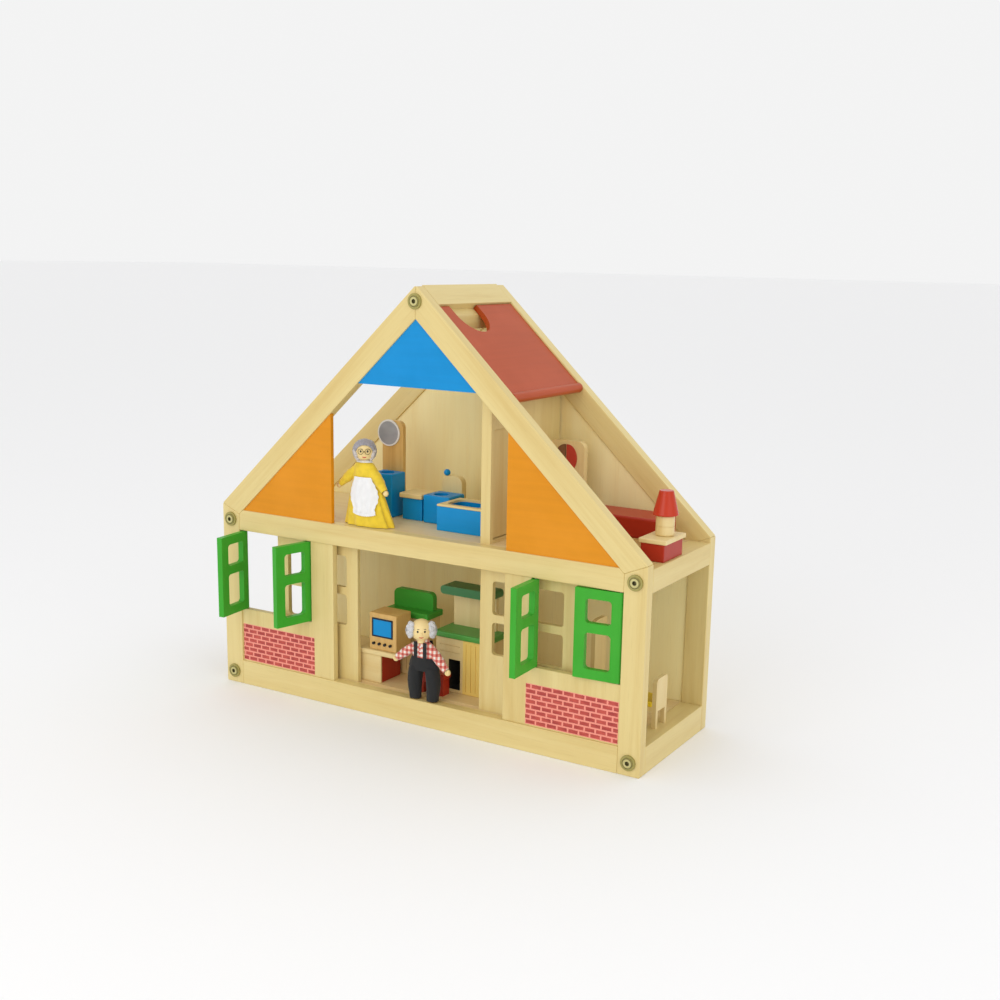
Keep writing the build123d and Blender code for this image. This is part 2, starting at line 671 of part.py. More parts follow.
def lamp(x=270.5, y=71.0):
    """A turned base with a groove round it, and a cone shade."""
    foot, height, radius = CHEST_TOP, 22.0, 10.0
    groove_z, groove_depth = 10.0, 0.5
    shade_low, shade_high, shade_height = 14.0, 7.5, 26.0
    base = fillet(rod((x, y, foot), (x, y, foot + height), radius).edges(), 2)
    collar = rod((x, y, foot + groove_z), (x, y, foot + groove_z + 1), radius + 2)
    core = rod((x, y, foot), (x, y, foot + height), radius - groove_depth)
    cone = Pos(x, y, foot + height + shade_height / 2) * Cone(shade_low, shade_high, shade_height)
    return {"lamp_base": [base - (collar - core)], "lamp_shade": [fillet(cone.edges(), 1)]}


def tv_cabinet(x=-97.0, y=25.0):
    """A red box with a wooden front, under a longer wooden top."""
    width, depth, front_depth, length = 32.0, 40.0, 3.0, 56.0
    lid = TV_CABINET_TOP - 6
    box = eased_block((x, x + width), (y + front_depth, y + depth), (GROUND, lid))
    front = eased_block((x, x + width), (y, y + front_depth), (GROUND, lid))
    top = eased_block((x - 2, x + length), (y - 2, y + depth + 2), (lid, TV_CABINET_TOP), 1.5)
    return {"tv_cabinet_box": [box], "tv_cabinet_wood": [front, top]}


def television(x=-83.0, y=27.0):
    """A wooden case with a set-in screen and a row of four knobs."""
    foot = TV_CABINET_TOP
    case = eased_block((x, x + 39), (y, y + 30), (foot, foot + 45), 1.2)
    recess = block((x + 4, x + 34), (y - 1, y + 1), (foot + 16, foot + 39))
    screen = eased_block((x + 4.2, x + 33.8), (y - 0.4, y + 0.9), (foot + 16.2, foot + 38.8), 0.4)
    knobs = [rod((kx, y, foot + 8), (kx, y - 2.5, foot + 8), 1.7)
             for kx in (x + 7, x + 15, x + 23, x + 31)]
    return {"tv_case": [case - recess], "tv_screen": [screen], "tv_knobs": knobs}


def cupboard(x=-91.0, y=68.0):
    """A grooved cupboard with a green shelf and back board on it."""
    body = eased_block((x + 3, x + 60), (y + 2, y + 32), (GROUND, GROUND + 72))
    for step in range(1, 6):
        gx = x + 3 + step * 9.5
        body -= block((gx - 0.5, gx + 0.5), (y + 1, y + 3), (GROUND + 5, GROUND + 67))
    shelf = eased_block((x, x + 63), (y, y + 34), (GROUND + 72, GROUND + 80), 2)
    back = block((x + 3, x + 60), (y + 16, y + 24), (GROUND + 80, GROUND + 102))
    back = fillet(back.edges().filter_by(Axis.Y).group_by(Axis.Z)[-1], 7)
    return {"cupboard_body": [body], "cupboard_green": [shelf + back]}


def kitchen(x=-1.0, y=46.0):
    """A grooved base with an open oven, a green counter, a board and a green hood."""
    width, depth, counter_z, hood_z = 72.0, 38.0, GROUND + 65, GROUND + 113
    base = eased_block((x, x + width), (y, y + depth), (GROUND, counter_z))
    oven = block((x + 18, x + 34), (y - 1, y + 26), (GROUND + 4, GROUND + 40))
    base -= oven
    for low in (GROUND + 48, GROUND + 56):
        base -= block((x + 6, x + 33), (y - 1, y + 0.8), (low, low + 1.2))
    for step in range(5):
        gx = x + 42 + step * 6.5
        base -= block((gx - 0.5, gx + 0.5), (y - 1, y + 0.8), (GROUND + 4, counter_z - 4))
    board = block((x + 4, x + 62), (y + 32, y + 37), (counter_z + 7, hood_z))
    counter = eased_block((x - 2, x + width + 2), (y - 2, y + depth), (counter_z, counter_z + 7), 2)
    hood = block((x - 2, x + 68), (y + 12, y + 38), (hood_z, hood_z + 10))
    hood = fillet(hood.edges().filter_by(Axis.Y), 4)
    return {"kitchen_base": [base, board], "kitchen_green": [counter, hood]}


def stool(x=-12.0, y=25.5):
    """A low bench with two wide legs."""
    seat = eased_block((x, x + 36), (y, y + 16), (GROUND + 20, GROUND + 26), 1.5)
    legs = block((x + 2, x + 34), (y + 1.5, y + 14.5), (GROUND, GROUND + 20))
    gap = block((x + 7, x + 29), (y, y + 16), (GROUND - 1, GROUND + 13))
    return {"stool": [seat + (legs - gap)]}


def chair_frame(x, y, seat_height, back_height, back_x):
    """Four legs, a rail under the seat and a back board with round corners."""
    legs = block((x, x + CHAIR_SIDE), (y, y + CHAIR_SIDE),
                 (GROUND + seat_height - CHAIR_STOCK, GROUND + seat_height))
    for leg_x in (x, x + CHAIR_SIDE - CHAIR_STOCK):
        for leg_y in (y, y + CHAIR_SIDE - CHAIR_STOCK):
            legs = legs + block((leg_x, leg_x + CHAIR_STOCK), (leg_y, leg_y + CHAIR_STOCK),
                                (GROUND, GROUND + seat_height))
    back = block((back_x, back_x + CHAIR_STOCK), (y, y + CHAIR_SIDE),
                 (GROUND + seat_height - 1, GROUND + back_height))
    return legs + fillet(back.edges().filter_by(Axis.X).group_by(Axis.Z)[-1], CHAIR_STOCK)


def near_chair(x=243.0, y=68.0):
    """A little chair that faces the middle of the house."""
    frame = chair_frame(x, y, 24.0, 56.0, x + CHAIR_SIDE - CHAIR_STOCK)
    seat = eased_block((x - 2, x + CHAIR_SIDE - CHAIR_STOCK - 0.2), (y - 1, y + CHAIR_SIDE + 1),
                       (GROUND + 24, GROUND + 30), 1.5)
    return {"chair_near_frame": [frame], "chair_near_seat": [seat]}


def tall_chair(x=178.0, y=92.0):
    """A high-backed chair with its seat in one piece with the frame."""
    frame = chair_frame(x, y, 24.0, 102.0, x)
    pad = block((x + CHAIR_STOCK, x + CHAIR_SIDE + 1), (y, y + CHAIR_SIDE),
                (GROUND + 23.5, GROUND + 28))
    return {"tall_chair": [frame + pad]}


def ball(place, radius):
    return Pos(*place) * Sphere(radius)


def limb(start, end, radius):
    """A soft arm or leg with round ends."""
    return rod(start, end, radius) + ball(start, radius) + ball(end, radius)


def grandmother(x=-85.0, y=22.0, lean=7.0):
    """A standing doll in a long dress, with the hem a little to the right of the head."""
    z = UPPER
    dress = loft([Pos(x + lean, y, z) * Ellipse(33, 12.5),
                  Pos(x + lean / 2, y, z + 38) * Ellipse(21, 9.5),
                  Pos(x, y, z + 72) * Ellipse(15, 7.5)])
    arms = (limb((x - 12, y, z + 65), (x - 33, y - 3, z + 46), 4.5)
            + limb((x + 12, y, z + 65), (x + 30, y - 3, z + 42), 4.5))
    head = ball((x, y, z + 86), 12) + ball((x, y + 8, z + 91), 6.5)
    cut = block((x - 30, x + 30), (y - 30, y + 30), (z + 60, z + 77))
    neck = rod((x, y, z + 72.2), (x, y, z + 80), 4)
    return {"grandmother_dress": [dress + arms], "grandmother_head": [(head - cut) + neck]}


def grandfather(x=10.0, y=6.3):
    """A standing doll in trousers and a shirt."""
    z = GROUND
    body = loft([Pos(x, y, z + 36) * Ellipse(17.5, 7.6), Pos(x, y - 2, z + 70) * Ellipse(13, 6.5)])
    for side in (-1, 1):
        body += rod((x + side * 10, y, z), (x + side * 10, y, z + 42), 8)
        body += limb((x + side * 12, y - 2, z + 64), (x + side * 36, y - 5, z + 42), 4.5)
    head_y = y - 6
    head = ball((x, head_y, z + 85), 12.5)
    cut = block((x - 30, x + 30), (y - 30, y + 30), (z + 60, z + 75.5))
    neck = rod((x, head_y, z + 70.2), (x, head_y, z + 80), 4.5)
    return {"grandfather_clothes": [body], "grandfather_head": [(head - cut) + neck]}


def furniture():
    """Every loose piece's nodes."""
    pieces = {}
    for made in (bathtub(), toilet(), low_cabinet(), washbasin(), dresser(), bed(), chest(),
                 lamp(), tv_cabinet(), television(), cupboard(), kitchen(), stool(),
                 near_chair(), tall_chair(), grandmother(), grandfather()):
        pieces.update(made)
    return pieces


def house():
    """Every node of the house itself."""
    bolts, barrels = bolts_and_barrels()
    nodes = {
        "posts": posts(),
        "bottom_rails": bottom_rails(),
        "mid_rails": mid_rails(),
        "rafters": rafters(),
        "end_beams": end_beams(),
        "ridge_beam": [ridge_beam()],
        "floors": floors(),
        "floor_cleats": floor_cleats(),
        "back_wall_panels": back_wall_panels(),
        "front_panels": front_panels(),
        "blue_gable_panel": [blue_gable_panel()],
        "orange_corner_panels": orange_corner_panels(),
        "partition": [partition()],
        "door_guide": [door_guide()],
        "hinge_pins": shutter_pins() + flap_pins() + partition_pins(),
        "bolts": bolts,
        "barrel_nuts": barrels,
        "right_sliding_door": [sliding_door(RIGHT_DOOR_OPEN_EDGE)],
        "left_sliding_door": [mirrored(sliding_door(LEFT_DOOR_OPEN_EDGE))],
        "right_roof_flap": [roof_flap()],
        "partition_door": [partition_door()],
    }
    for name in SHUTTER_OPEN:
        nodes[name] = [shutter_leaf(name)]
    return nodes


def footprint_shift(nodes):
    """The move that puts the origin at the middle of the footprint's box."""
    boxes = [solid.bounding_box() for solids in nodes.values() for solid in solids]
    low = min(box.min.Y for box in boxes)
    high = max(box.max.Y for box in boxes)
    return -(low + high) / 2


def build():
    nodes = house()
    nodes.update(furniture())
    return nodes, footprint_shift(nodes)


def main():
    nodes, shift = build()
    os.makedirs("parts", exist_ok=True)
    for name, solids in nodes.items():
        moved = [Pos(0, shift, 0) * solid for solid in solids]
        shape = moved[0] if len(moved) == 1 else Compound(children=moved)
        export_step(shape, os.path.join("parts", name + ".step"))
    print(len(nodes), "nodes, moved by", round(shift, 3))


if __name__ == "__main__":
    main()
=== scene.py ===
import bpy
import bmesh
import math
from mathutils import Matrix, Vector
from mathutils import noise as noise3


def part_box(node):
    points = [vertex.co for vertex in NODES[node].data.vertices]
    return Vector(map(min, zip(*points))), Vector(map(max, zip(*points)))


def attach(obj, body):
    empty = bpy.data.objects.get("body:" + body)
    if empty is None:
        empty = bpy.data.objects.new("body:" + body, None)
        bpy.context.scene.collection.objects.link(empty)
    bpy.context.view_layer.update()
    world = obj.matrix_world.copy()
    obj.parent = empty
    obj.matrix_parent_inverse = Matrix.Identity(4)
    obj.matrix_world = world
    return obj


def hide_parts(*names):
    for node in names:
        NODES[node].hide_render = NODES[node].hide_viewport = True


# Looks for the wooden dollhouse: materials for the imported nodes, small details on the
# furniture, and the two dolls. Lengths are in metres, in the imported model's frame: x to the
# right along the front, y from the front to the back, z up.

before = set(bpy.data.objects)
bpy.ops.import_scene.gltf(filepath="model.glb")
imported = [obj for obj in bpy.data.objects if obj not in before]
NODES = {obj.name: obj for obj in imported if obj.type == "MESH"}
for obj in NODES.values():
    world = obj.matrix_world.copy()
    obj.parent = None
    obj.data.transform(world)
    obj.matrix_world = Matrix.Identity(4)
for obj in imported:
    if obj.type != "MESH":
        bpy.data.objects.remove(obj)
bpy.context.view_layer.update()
MM = 0.001
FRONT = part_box("posts")[0].y
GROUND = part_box("bottom_rails")[1].z
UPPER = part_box("mid_rails")[1].z
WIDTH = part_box("posts")[1].x * 2


# Materials


def new_material(name):
    """A material with its node tree and its shader."""
    mat = bpy.data.materials.new(name)
    mat.use_nodes = True
    tree = mat.node_tree
    shader = tree.nodes["Principled BSDF"]
    return mat, tree, shader


def maths(tree, operation, first, second=0.0):
    """A Math node whose inputs are sockets or numbers; returns its output."""
    made = tree.nodes.new("ShaderNodeMath")
    made.operation = operation
    for socket, value in zip(made.inputs, (first, second)):
        if isinstance(value, (int, float)):
            socket.default_value = value
        else:
            tree.links.new(value, socket)
    return made.outputs[0]


def mix(tree, amount, first, second, blend="MIX"):
    """A colour mix; amount and colours are sockets or values."""
    made = tree.nodes.new("ShaderNodeMix")
    made.data_type = "RGBA"
    made.blend_type = blend
    for index, value in ((0, amount), (6, first), (7, second)):
        if isinstance(value, bpy.types.NodeSocket):
            tree.links.new(value, made.inputs[index])
        elif isinstance(value, (int, float)):
            made.inputs[index].default_value = value
        else:
            made.inputs[index].default_value = (*value, 1)
    return made.outputs[2]


def ramp(tree, value, stops):
    """A colour ramp from (position, grey or colour) stops."""
    made = tree.nodes.new("ShaderNodeValToRGB")
    elements = made.color_ramp.elements
    while len(elements) < len(stops):
        elements.new(0.5)
    for element, (position, colour) in zip(elements, stops):
        shade = (colour,) * 3 if isinstance(colour, float) else colour
        element.position = position
        element.color = (*shade, 1)
    tree.links.new(value, made.inputs[0])
    return made.outputs[0]


def place(tree):
    """The object-space position, as a socket."""
    return tree.nodes.new("ShaderNodeTexCoord").outputs["Object"]


def axes_of(tree, vector):
    """The x, y and z sockets of a vector."""
    made = tree.nodes.new("ShaderNodeSeparateXYZ")
    tree.links.new(vector, made.inputs[0])
    return made.outputs


def stretched(tree, vector, scale, turn=(0.0, 0.0, 0.0), shift=(0.0, 0.0, 0.0)):
    """The position turned, shifted and scaled, so that noise can become grain."""
    made = tree.nodes.new("ShaderNodeMapping")
    made.inputs["Scale"].default_value = scale
    made.inputs["Rotation"].default_value = turn
    made.inputs["Location"].default_value = shift
    tree.links.new(vector, made.inputs["Vector"])
    return made.outputs[0]


def noise(tree, vector, scale, detail=3.0, rough=0.5, distortion=0.0):
    """Noise over a position, as a socket."""
    made = tree.nodes.new("ShaderNodeTexNoise")
    made.inputs["Scale"].default_value = scale
    made.inputs["Detail"].default_value = detail
    made.inputs["Roughness"].default_value = rough
    made.inputs["Distortion"].default_value = distortion
    tree.links.new(vector, made.inputs["Vector"])
    return made.outputs[0]


def bump(tree, shader, height, strength, distance):
    """Relief on the shader's normal; distance is in metres."""
    made = tree.nodes.new("ShaderNodeBump")
    made.inputs["Strength"].default_value = strength
    made.inputs["Distance"].default_value = distance
    tree.links.new(height, made.inputs["Height"])
    tree.links.new(made.outputs[0], shader.inputs["Normal"])


def mirrored_x(tree, vector):
    """The position with x made positive, so both halves of the house share one grain."""
    parts = axes_of(tree, vector)
    joined = tree.nodes.new("ShaderNodeCombineXYZ")
    tree.links.new(maths(tree, "ABSOLUTE", parts[0]), joined.inputs[0])
    tree.links.new(parts[1], joined.inputs[1])
    tree.links.new(parts[2], joined.inputs[2])
    return joined.outputs[0]


GRAIN_LONG, GRAIN_WIDE = 5.0, 95.0
STREAK_LONG, STREAK_WIDE = 9, 150


def grain_scale(along, long, wide):
    """Noise scales that stretch it along one axis."""
    return [long if axis == along else wide for axis in "xyz"]


def grain_colour(tree, light, dark, along, mirror_turn=None, seed=0.0):
    """Grain along x, y or z; with mirror_turn, along a slope that falls to both sides."""
    vector = place(tree)
    turn = (0.0, 0.0, 0.0)
    if mirror_turn is not None:
        vector = mirrored_x(tree, vector)
        turn = (0.0, mirror_turn, 0.0)
    rotated = stretched(tree, vector, (1, 1, 1), turn, (seed, seed * 0.7, seed * 1.3))
    scale = grain_scale(along, GRAIN_LONG, GRAIN_WIDE)
    lines = noise(tree, stretched(tree, rotated, scale), 1.0, 4.0, 0.6, 0.6)
    soft = noise(tree, stretched(tree, rotated, [s * 0.22 for s in scale]), 1.0, 2.0, 0.5, 1.2)
    fine = noise(tree, stretched(tree, rotated, [s * 7 for s in scale]), 1.0, 2.0, 0.5)
    both = maths(tree, "ADD", maths(tree, "MULTIPLY", lines, 0.5), maths(tree, "MULTIPLY", soft, 0.5))
    amount = ramp(tree, both, [(0.36, 0.0), (0.5, 0.35), (0.66, 1.0)])
    colour = mix(tree, amount, light, dark)
    pores = ramp(tree, fine, [(0.30, 0.55), (0.42, 0.0)])
    colour = mix(tree, maths(tree, "MULTIPLY", pores, 0.25), colour, [c * 0.72 for c in dark])
    return colour, maths(tree, "SUBTRACT", both, maths(tree, "MULTIPLY", pores, 0.3))


def finish_wood(tree, shader, colour, height, rough=0.46):
    """Bare wood under a thin clear coat."""
    tree.links.new(colour, shader.inputs["Base Color"])
    shader.inputs["Roughness"].default_value = rough
    shader.inputs["Coat Weight"].default_value = 0.04
    shader.inputs["Coat Roughness"].default_value = 0.3
    bump(tree, shader, height, 0.35, 0.0004)


PINE_LIGHT = (0.765, 0.620, 0.270)
PINE_DARK = (0.670, 0.495, 0.180)
GOLD_LIGHT = (0.76, 0.50, 0.17)
GOLD_DARK = (0.60, 0.34, 0.09)
BEIGE_LIGHT = (0.80, 0.64, 0.31)
BEIGE_DARK = (0.72, 0.53, 0.22)


def wood(name, light, dark, along, mirror_turn=None, seed=0.0, rough=0.42):
    """Wood with its grain along an axis."""
    mat, tree, shader = new_material(name)
    colour, height = grain_colour(tree, light, dark, along, mirror_turn, seed)
    finish_wood(tree, shader, colour, height, rough)
    return mat


def paint_nodes(tree, colour, along="x"):
    """Painted wood: an even coat with slight streaks from the grain beneath."""
    vector = place(tree)
    scale = grain_scale(along, STREAK_LONG, STREAK_WIDE)
    streaks = noise(tree, stretched(tree, vector, scale), 1.0, 3.0, 0.5, 0.3)
    clouds = noise(tree, vector, 22.0, 3.0, 0.5)
    speckle = noise(tree, vector, 900.0, 2.0, 0.6)
    streak_amount = ramp(tree, streaks, [(0.35, 0.0), (0.7, 0.28)])
    dark = mix(tree, streak_amount, colour, [c * 0.78 for c in colour])
    light = [min(1.0, c * 1.12 + 0.012) for c in colour]
    made = mix(tree, ramp(tree, clouds, [(0.4, 0.0), (0.7, 0.4)]), dark, light)
    relief = maths(tree, "MULTIPLY", streaks, 0.6)
    return made, maths(tree, "ADD", relief, maths(tree, "MULTIPLY", speckle, 0.25))


def paint(name, colour, along="x", rough=0.36):
    """Satin paint on wood."""
    mat, tree, shader = new_material(name)
    made, height = paint_nodes(tree, colour, along)
    tree.links.new(made, shader.inputs["Base Color"])
    shader.inputs["Roughness"].default_value = rough
    shader.inputs["Coat Weight"].default_value = 0.03
    shader.inputs["Specular IOR Level"].default_value = 0.22
    shader.inputs["Coat Roughness"].default_value = 0.25
    bump(tree, shader, height, 0.25, 0.0003)
    return mat


def between(tree, value, low, high):
    """1 where value is between low and high, else 0."""
    above = maths(tree, "GREATER_THAN", value, low)
    below = maths(tree, "LESS_THAN", value, high)
    return maths(tree, "MULTIPLY", above, below)


BRICK_LOW, BRICK_HIGH = 0.0315, 0.0780
BRICK_INNER, BRICK_OUTER = 0.1460, 0.2580
COURSES, BRICKS = 8, 8.5
MORTAR_PINK = (0.86, 0.29, 0.22)
BRICK_DARK, BRICK_LIGHT = (0.38, 0.035, 0.03), (0.55, 0.075, 0.055)
WHOLE_BRICKS_ASIDE = 40.0
PRINT_DEPTH = 2.6 * MM


def brick_wall(name):
    """Pine with a printed patch of brickwork on its front."""
    mat, tree, shader = new_material(name)
    wood_colour, height = grain_colour(tree, PINE_LIGHT, PINE_DARK, "z", seed=3.1)
    x, y, z = axes_of(tree, place(tree))[:3]
    across = maths(tree, "ABSOLUTE", x)
    course_height = (BRICK_HIGH - BRICK_LOW) / COURSES
    brick_length = (BRICK_OUTER - BRICK_INNER) / BRICKS
    row = maths(tree, "DIVIDE", maths(tree, "SUBTRACT", z, BRICK_LOW), course_height)
    column = maths(tree, "DIVIDE", maths(tree, "SUBTRACT", x, BRICK_INNER), brick_length)
    odd = maths(tree, "MODULO", maths(tree, "FLOOR", row), 2.0)
    column = maths(tree, "ADD", column, maths(tree, "MULTIPLY", odd, 0.5))
    uneven = maths(tree, "SUBTRACT", noise(tree, place(tree), 700.0), 0.5)
    wobble = maths(tree, "MULTIPLY", uneven, 0.14)
    in_row = maths(tree, "ADD", maths(tree, "FRACT", row), wobble)
    aside = maths(tree, "ADD", column, WHOLE_BRICKS_ASIDE)
    in_column = maths(tree, "ADD", maths(tree, "FRACT", aside), maths(tree, "MULTIPLY", wobble, 0.5))
    brick = maths(tree, "MULTIPLY", between(tree, in_row, 0.17, 0.86),
                  between(tree, in_column, 0.07, 0.92))
    tone = noise(tree, stretched(tree, place(tree), (70, 1, 170)), 1.0, 2.0)
    red = mix(tree, ramp(tree, tone, [(0.35, 0.0), (0.65, 1.0)]), BRICK_DARK, BRICK_LIGHT)
    printed = mix(tree, brick, MORTAR_PINK, red)
    inside = maths(tree, "MULTIPLY", between(tree, z, BRICK_LOW, BRICK_HIGH),
                   between(tree, across, BRICK_INNER, BRICK_OUTER))
    inside = maths(tree, "MULTIPLY", inside, maths(tree, "LESS_THAN", y, FRONT + PRINT_DEPTH))
    finish_wood(tree, shader, mix(tree, inside, wood_colour, printed), height)
    return mat


def metal(name, colour, rough):
    """Metal with faint clouds and a fine grain."""
    mat, tree, shader = new_material(name)
    grain = noise(tree, stretched(tree, place(tree), (900, 900, 900)), 1.0, 3.0)
    clouds = noise(tree, place(tree), 160.0, 2.0)
    dark = [c * 0.72 for c in colour]
    made = mix(tree, ramp(tree, clouds, [(0.35, 0.0), (0.7, 0.6)]), colour, dark)
    tree.links.new(made, shader.inputs["Base Color"])
    shader.inputs["Metallic"].default_value = 1.0
    shader.inputs["Roughness"].default_value = rough
    bump(tree, shader, grain, 0.08, 0.0002)
    return mat


def radius_from(tree, parts, x, z):
    """Distance in x and z from a line along y."""
    dx = maths(tree, "SUBTRACT", parts[0], x)
    dz = maths(tree, "SUBTRACT", parts[2], z)
    squares = maths(tree, "ADD", maths(tree, "MULTIPLY", dx, dx), maths(tree, "MULTIPLY", dz, dz))
    return maths(tree, "SQRT", squares)


BOLT_X, BOLT_LOW_Z, BOLT_HIGH_Z, BOLT_RIDGE_Z = 0.272, 0.015, 0.2085, 0.479
BOLT_BAND = 9 * MM
# The socket and groove colours are painted shade in the bolt heads' hollows; the head's rings grow darker
# from the socket out to the washer's rim.
SOCKET_SHADE, GROOVE_SHADE, CLOUD_BRASS = (0.07, 0.06, 0.02), (0.14, 0.12, 0.03), (0.38, 0.33, 0.11)


def bolt_metal(name):
    """Brass with painted shade: a dark socket and a dark groove round the head, dark rings that stand in
    for the shade in these hollows.
    """
    mat, tree, shader = new_material(name)
    parts = axes_of(tree, mirrored_x(tree, place(tree)))
    radius = radius_from(tree, parts, 0.0, BOLT_RIDGE_Z)
    for z in (BOLT_LOW_Z, BOLT_HIGH_Z):
        radius = maths(tree, "MINIMUM", radius, radius_from(tree, parts, BOLT_X, z))
    band = maths(tree, "DIVIDE", radius, BOLT_BAND)
    stops = [(0.0, SOCKET_SHADE), (0.25, SOCKET_SHADE), (0.31, (0.66, 0.60, 0.28)), (0.50, (0.56, 0.50, 0.20)),
             (0.57, GROOVE_SHADE), (0.64, GROOVE_SHADE), (0.71, (0.46, 0.40, 0.13)), (0.95, (0.34, 0.29, 0.08))]
    clouds = noise(tree, place(tree), 300.0, 3.0)
    rings = ramp(tree, band, stops)
    made = mix(tree, ramp(tree, clouds, [(0.35, 0.0), (0.7, 0.35)]), rings, CLOUD_BRASS)
    tree.links.new(made, shader.inputs["Base Color"])
    shader.inputs["Metallic"].default_value = 0.35
    shader.inputs["Roughness"].default_value = 0.42
    bump(tree, shader, noise(tree, place(tree), 1200.0, 3.0), 0.1, 0.0002)
    return mat


MIRROR_RIM = 1.9 * MM


def ringed_mirror(name):
    """A disc painted grey with soft clouds as a painted reflection, under a glossy coat, with a white rim.
    """
    mat, tree, shader = new_material(name)
    low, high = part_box("washbasin_mirror")
    parts = axes_of(tree, place(tree))
    radius = radius_from(tree, parts, (low.x + high.x) / 2, (low.z + high.z) / 2)
    rim = maths(tree, "GREATER_THAN", radius, (high.x - low.x) / 2 - MIRROR_RIM)
    clouds = noise(tree, stretched(tree, place(tree), (30, 1, 60)), 1.0, 2.0)
    amount = ramp(tree, clouds, [(0.3, 0.0), (0.7, 1.0)])
    # The two greys and their streaky clouds are a painted reflection on the mirror.
    grey = mix(tree, amount, (0.27, 0.29, 0.32), (0.40, 0.42, 0.45))
    tree.links.new(mix(tree, rim, grey, (0.80, 0.79, 0.76)), shader.inputs["Base Color"])
    shader.inputs["Roughness"].default_value = 0.22
    shader.inputs["Coat Weight"].default_value = 0.35
    return mat


# The kitchen's door panel and oven, from the base's low corner
KITCHEN_DOOR_X, KITCHEN_DOOR_DEPTH = 37.5 * MM, 3 * MM
OVEN_X, OVEN_Z, OVEN_Y = (17.9 * MM, 34.1 * MM), (3.9 * MM, 40.1 * MM), (0.4 * MM, 27 * MM)


def kitchen_wood(name):
    """Pale wood with a golden door panel and a dark oven."""
    mat, tree, shader = new_material(name)
    pale, height = grain_colour(tree, BEIGE_LIGHT, BEIGE_DARK, "z", seed=2.9)
    x, y, z = axes_of(tree, place(tree))[:3]
    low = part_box("kitchen_base")[0]
    door = maths(tree, "MULTIPLY", maths(tree, "GREATER_THAN", x, low.x + KITCHEN_DOOR_X),
                 maths(tree, "LESS_THAN", y, low.y + KITCHEN_DOOR_DEPTH))
    oven = between(tree, x, low.x + OVEN_X[0], low.x + OVEN_X[1])
    oven = maths(tree, "MULTIPLY", oven, between(tree, z, low.z + OVEN_Z[0], low.z + OVEN_Z[1]))
    oven = maths(tree, "MULTIPLY", oven, between(tree, y, low.y + OVEN_Y[0], low.y + OVEN_Y[1]))
    golden = mix(tree, 0.35, (0.92, 0.62, 0.08), pale)
    colour = mix(tree, door, pale, golden)
    finish_wood(tree, shader, mix(tree, oven, colour, (0.030, 0.028, 0.022)), height)
    return mat


def back_wall(name):
    """Plywood, painted paler inside the house than behind it: the paler inside colour is painted light."""
    mat, tree, shader = new_material(name)
    # Painted light: the inside colour is a brightened copy of the plywood, standing in for light in the
    # rooms; multiplied down behind the house, it comes back to the plain plywood tone.
    inside, height = grain_colour(tree, (0.98, 0.87, 0.47), (0.93, 0.78, 0.37), "z", seed=5.2)
    low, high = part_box("back_wall_panels")
    behind = maths(tree, "GREATER_THAN", axes_of(tree, place(tree))[1], (low.y + high.y) / 2)
    outside = mix(tree, 1.0, inside, (0.82, 0.75, 0.68), "MULTIPLY")
    finish_wood(tree, shader, mix(tree, behind, inside, outside), height, 0.42)
    return mat


HOOD_DEPTH = 15 * MM
TAP_FOOT = 31.5 * MM


def two_greens(name):
    """Green paint, darker on the hood than on the counter."""
    mat, tree, shader = new_material(name)
    light, height = paint_nodes(tree, (0.075, 0.33, 0.05), "x")
    dark = mix(tree, 0.82, light, (0.02, 0.13, 0.045))
    z = axes_of(tree, place(tree))[2]
    hood = maths(tree, "GREATER_THAN", z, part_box("kitchen_green")[1].z - HOOD_DEPTH)
    tree.links.new(mix(tree, hood, light, dark), shader.inputs["Base Color"])
    shader.inputs["Roughness"].default_value = 0.4
    bump(tree, shader, height, 0.25, 0.0003)
    return mat


def tub_rim(name):
    """Pale wood with a red tap."""
    mat, tree, shader = new_material(name)
    pale, height = grain_colour(tree, BEIGE_LIGHT, BEIGE_DARK, "x", seed=5.5)
    z = axes_of(tree, place(tree))[2]
    tap = maths(tree, "GREATER_THAN", z, UPPER + TAP_FOOT)
    finish_wood(tree, shader, mix(tree, tap, pale, (0.42, 0.09, 0.06)), height)
    return mat


THREAD_SCALE, THREAD_RELIEF, CLOTH_ROUGHNESS = 4200.0, 0.00015, 0.85
CHECK_STEP = 5.8 * MM
WHOLE_CHECKS_ASIDE = 50.0
CHECK_WHITE, CHECK_PINK, CHECK_RED = (0.86, 0.78, 0.70), (0.72, 0.24, 0.18), (0.48, 0.06, 0.05)


def weave_height(tree, vector):
    """Over-and-under threads."""
    parts = axes_of(tree, vector)
    diagonal = maths(tree, "ADD", parts[0], parts[1])
    warp = maths(tree, "SINE", maths(tree, "MULTIPLY", diagonal, THREAD_SCALE))
    weft = maths(tree, "SINE", maths(tree, "MULTIPLY", parts[2], THREAD_SCALE))
    return maths(tree, "MULTIPLY", warp, weft)


def cloth(name, colour, sheen, shade=0.75):
    """Plain woven cloth, with clouds of a darker shade."""
    mat, tree, shader = new_material(name)
    vector = place(tree)
    clouds = ramp(tree, noise(tree, vector, 130.0, 3.0), [(0.35, 0.0), (0.7, 0.7)])
    made = mix(tree, clouds, colour, [c * shade for c in colour])
    tree.links.new(made, shader.inputs["Base Color"])
    shader.inputs["Roughness"].default_value = CLOTH_ROUGHNESS
    shader.inputs["Sheen Weight"].default_value = sheen
    bump(tree, shader, weave_height(tree, vector), 0.35, THREAD_RELIEF)
    return mat


def stripe_of(tree, value):
    """1 in the first half of each step of the check, else 0."""
    steps = maths(tree, "ADD", maths(tree, "DIVIDE", value, CHECK_STEP), WHOLE_CHECKS_ASIDE)
    return maths(tree, "LESS_THAN", maths(tree, "FRACT", steps), 0.5)


